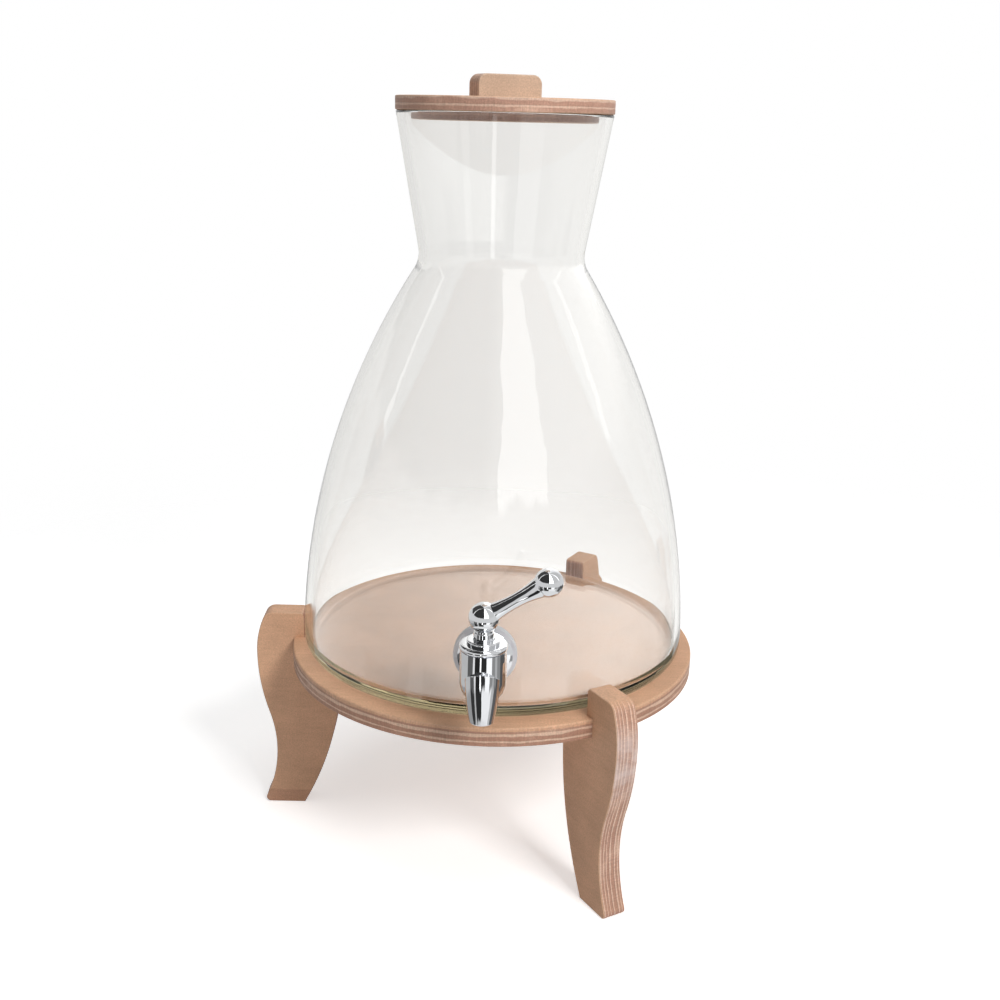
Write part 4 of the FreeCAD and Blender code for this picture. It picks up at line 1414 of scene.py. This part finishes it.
    def build(self, vessel: Vessel) -> None:
        """Model the parts that show, dress the hidden ones and hang them all in the frame.

        Args:
            vessel: the glass that the tap sits in.
        """
        chrome = ChromeFinish("bright_chrome").material()
        milky = MouldedFinish(
            "milky_silicone",
            base=(0.80, 0.80, 0.83, 1.0),
            dark=(0.70, 0.70, 0.74, 1.0),
            roughness=0.4,
            clear=0.35,
        ).material()
        white = MouldedFinish(
            "white_plastic",
            base=(0.82, 0.82, 0.8, 1.0),
            dark=(0.74, 0.74, 0.72, 1.0),
        ).material()
        black = MouldedFinish(
            "black_rubber",
            base=(0.03, 0.03, 0.03, 1.0),
            dark=(0.02, 0.02, 0.02, 1.0),
        ).material()
        deliver(self.casting(), Body.VESSEL, chrome, "tap_body")
        deliver(self.bonnet(), Body.VESSEL, chrome, "tap_bonnet")
        deliver(self.lever(), Body.LEVER, chrome, "tap_lever")
        deliver(self.seal(vessel), Body.VESSEL, milky, "outer_gasket")
        deliver(self.nut(), Body.VESSEL, white, "lock_nut")
        dress("inner_gasket", milky)
        for node in ("inner_washer", "valve_plug", "slip_washer"):
            dress(node, white)
        for node in ("plug_ring_upper", "plug_ring_lower"):
            dress(node, black)


@dataclass(frozen=True)
class Viewpoint:
    """The camera, fitted to the photograph's frame."""

    place: Place = (0.023702, -0.774242, 0.452728)
    pitch: float = 0.29634
    yaw: float = -0.02699
    roll: float = -0.02557
    focal_pixels: float = 1266.43
    image_pixels: float = 1000.0
    sensor: float = 36.0
    nearest: float = 0.01

    def build(self) -> None:
        """Make the camera."""
        ahead = Vector(
            (
                math.sin(self.yaw) * math.cos(self.pitch),
                math.cos(self.yaw) * math.cos(self.pitch),
                -math.sin(self.pitch),
            )
        )
        level = Vector((math.cos(self.yaw), -math.sin(self.yaw), 0.0))
        upright = level.cross(ahead)
        right = math.cos(self.roll) * level - math.sin(self.roll) * upright
        up = math.sin(self.roll) * level + math.cos(self.roll) * upright
        turn = Matrix((right, up, -ahead)).transposed()
        data = bpy.data.cameras.new("viewpoint")
        data.sensor_width = self.sensor
        data.lens = self.focal_pixels * self.sensor / self.image_pixels
        data.clip_start = self.nearest
        camera = bpy.data.objects.new("viewpoint", data)
        camera.matrix_world = Matrix.Translation(self.place) @ turn.to_4x4()
        bpy.context.scene.collection.objects.link(camera)
        bpy.context.scene.camera = camera


@dataclass(frozen=True)
class Lamp:
    """A soft square lamp, aimed at the object."""

    name: str
    place: Place
    size: float
    power: float
    target: Place = (0.0, 0.0, 0.2)

    def build(self) -> None:
        """Hang the lamp where neither camera nor mirror sees it."""
        data = bpy.data.lights.new(self.name, "AREA")
        data.size = self.size
        data.energy = self.power
        lamp = bpy.data.objects.new(self.name, data)
        lamp.location = self.place
        aim = Vector(self.target) - Vector(self.place)
        lamp.rotation_euler = aim.to_track_quat("-Z", "Y").to_euler()
        lamp.visible_camera = False
        lamp.visible_glossy = False
        lamp.visible_transmission = False
        bpy.context.scene.collection.objects.link(lamp)


@dataclass(frozen=True)
class Studio:
    """Pale floor, soft lamps and a white surround."""

    ambient: float = 0.24
    floor_size: float = 120.0
    floor_shade: float = 0.86
    floor_lift: float = 0.5  # whitens the floor where it is looked at
    shade: tuple[float, float] = (0.83, 1.01)  # the surround through glass, from left to right
    shade_turn: tuple[float, float] = (-0.35, 0.3)
    ceiling: tuple[float, float] = (0.9, 2.3)  # the same overhead
    ceiling_turn: tuple[float, float] = (-0.16, 0.12)
    ceiling_rise: tuple[float, float] = (0.06, 0.32)
    under_glass: float = 0.1  # light that reaches what stands under the glass
    fade: tuple[float, float] = (0.3, 1.0)  # the floor turns white between these distances from the object
    bounces: int = 32
    lamps: tuple[Lamp, ...] = (
        Lamp("key", (1.05, -1.4, 1.5), 0.6, 29.0),
        Lamp("overhead", (0.1, -0.1, 1.9), 1.4, 11.0),
    )

    def build(self) -> None:
        """Build the surround, the floor and the lamps."""
        scene = bpy.context.scene
        scene.view_settings.view_transform = "Standard"
        scene.cycles.max_bounces = self.bounces
        scene.cycles.transmission_bounces = self.bounces
        scene.cycles.glossy_bounces = self.bounces
        scene.cycles.blur_glossy = 0.0
        world = bpy.data.worlds.new("surround")
        scene.world = world
        world.use_nodes = True
        graph = Graph(world.node_tree)
        way = graph.node("TexCoord").outputs["Generated"]
        strength = graph.between(self.behind(graph), self.ambient, self.backdrop(graph, way))
        room = graph.group(Surroundings().tree(), {"Way": way}).outputs["Brightness"]
        strength = graph.between(self.mirrored(graph), strength, room)
        air = graph.node("Background", {"Color": WHITE, "Strength": strength})
        graph.node("OutputWorld", {"Surface": air.outputs[0]})
        self.floor()
        for lamp in self.lamps:
            lamp.build()

    @staticmethod
    def behind(graph: Graph) -> Socket:
        """Tell which rays show what is behind the object: those of the camera and through glass.

        Args:
            graph: tree that the nodes go in.

        Returns:
            1 for these rays, otherwise 0.
        """
        path = graph.node("LightPath").outputs
        either = graph.math("ADD", path["Is Camera Ray"], path["Is Transmission Ray"])
        return graph.math("MINIMUM", either, 1.0)

    def backdrop(self, graph: Graph, way: Socket) -> Socket:
        """Return the surround's brightness.

        It is white to the camera. Through glass it is shaded from left to right, with a bright ceiling
        that the base of the glass mirrors, and what stands under the glass gets an even light from it.

        Args:
            graph: tree of the surround.
            way: direction of the ray.

        Returns:
            The brightness.
        """
        path = graph.node("LightPath").outputs
        across, _, rise = graph.split(way)
        shade = graph.spread(across, *self.shade_turn, *self.shade)
        ceiling = graph.spread(across, *self.ceiling_turn, *self.ceiling)
        seen = graph.between(graph.spread(rise, *self.ceiling_rise, 0.0, 1.0), shade, ceiling)
        lighting = graph.math("GREATER_THAN", path["Diffuse Depth"], 0.5)
        through = graph.between(lighting, seen, self.under_glass)
        return graph.between(path["Is Transmission Ray"], 1.0, through)

    @staticmethod
    def mirrored(graph: Graph) -> Socket:
        """Tell which rays a mirror throws back, without those that go through glass.

        Args:
            graph: tree that the nodes go in.

        Returns:
            1 for these rays, otherwise 0.
        """
        path = graph.node("LightPath").outputs
        through = graph.math("SUBTRACT", 1.0, path["Is Transmission Ray"])
        return graph.math("MULTIPLY", path["Is Glossy Ray"], through)

    def floor(self) -> None:
        """Lay paper that fades into the surround with distance and lets mirrored rays through to it."""
        clear_selection()
        bpy.ops.mesh.primitive_plane_add(size=self.floor_size)
        floor = bpy.context.object
        floor.name = "floor"
        material = bpy.data.materials.new("floor_paper")
        material.use_nodes = True
        graph = Graph(material.node_tree)
        place = graph.node("TexCoord").outputs["Object"]
        away = graph.node("VectorMath", {0: place}, operation="LENGTH").outputs["Value"]
        fade = graph.math("MULTIPLY", self.behind(graph), graph.spread(away, *self.fade, 0.0, 1.0))
        paper = graph.node("BsdfDiffuse", {"Color": (self.floor_shade,) * 3 + (1.0,)})
        lift = graph.node("Emission", {"Color": WHITE})
        graph.feed(lift.inputs["Strength"], graph.math("MULTIPLY", self.behind(graph), self.floor_lift))
        near = graph.node("AddShader", {0: paper.outputs[0], 1: lift.outputs[0]})
        clear = graph.node("BsdfTransparent")
        share = graph.math("MAXIMUM", fade, self.mirrored(graph))
        shown = graph.node("MixShader", {0: share, 1: near.outputs[0], 2: clear.outputs[0]})
        graph.node("OutputMaterial", {"Surface": shown.outputs[0]})
        floor.data.materials.append(material)


def main() -> None:
    """Build every sub-assembly, the studio and the camera."""
    logging.basicConfig(level=logging.INFO, format="%(name)s: %(message)s")
    Stand().dress()
    Lid().dress()
    vessel = Vessel()
    vessel.build()
    Tap().build(vessel)
    Studio().build()
    Viewpoint().build()


if __name__ == "__main__":
    main()
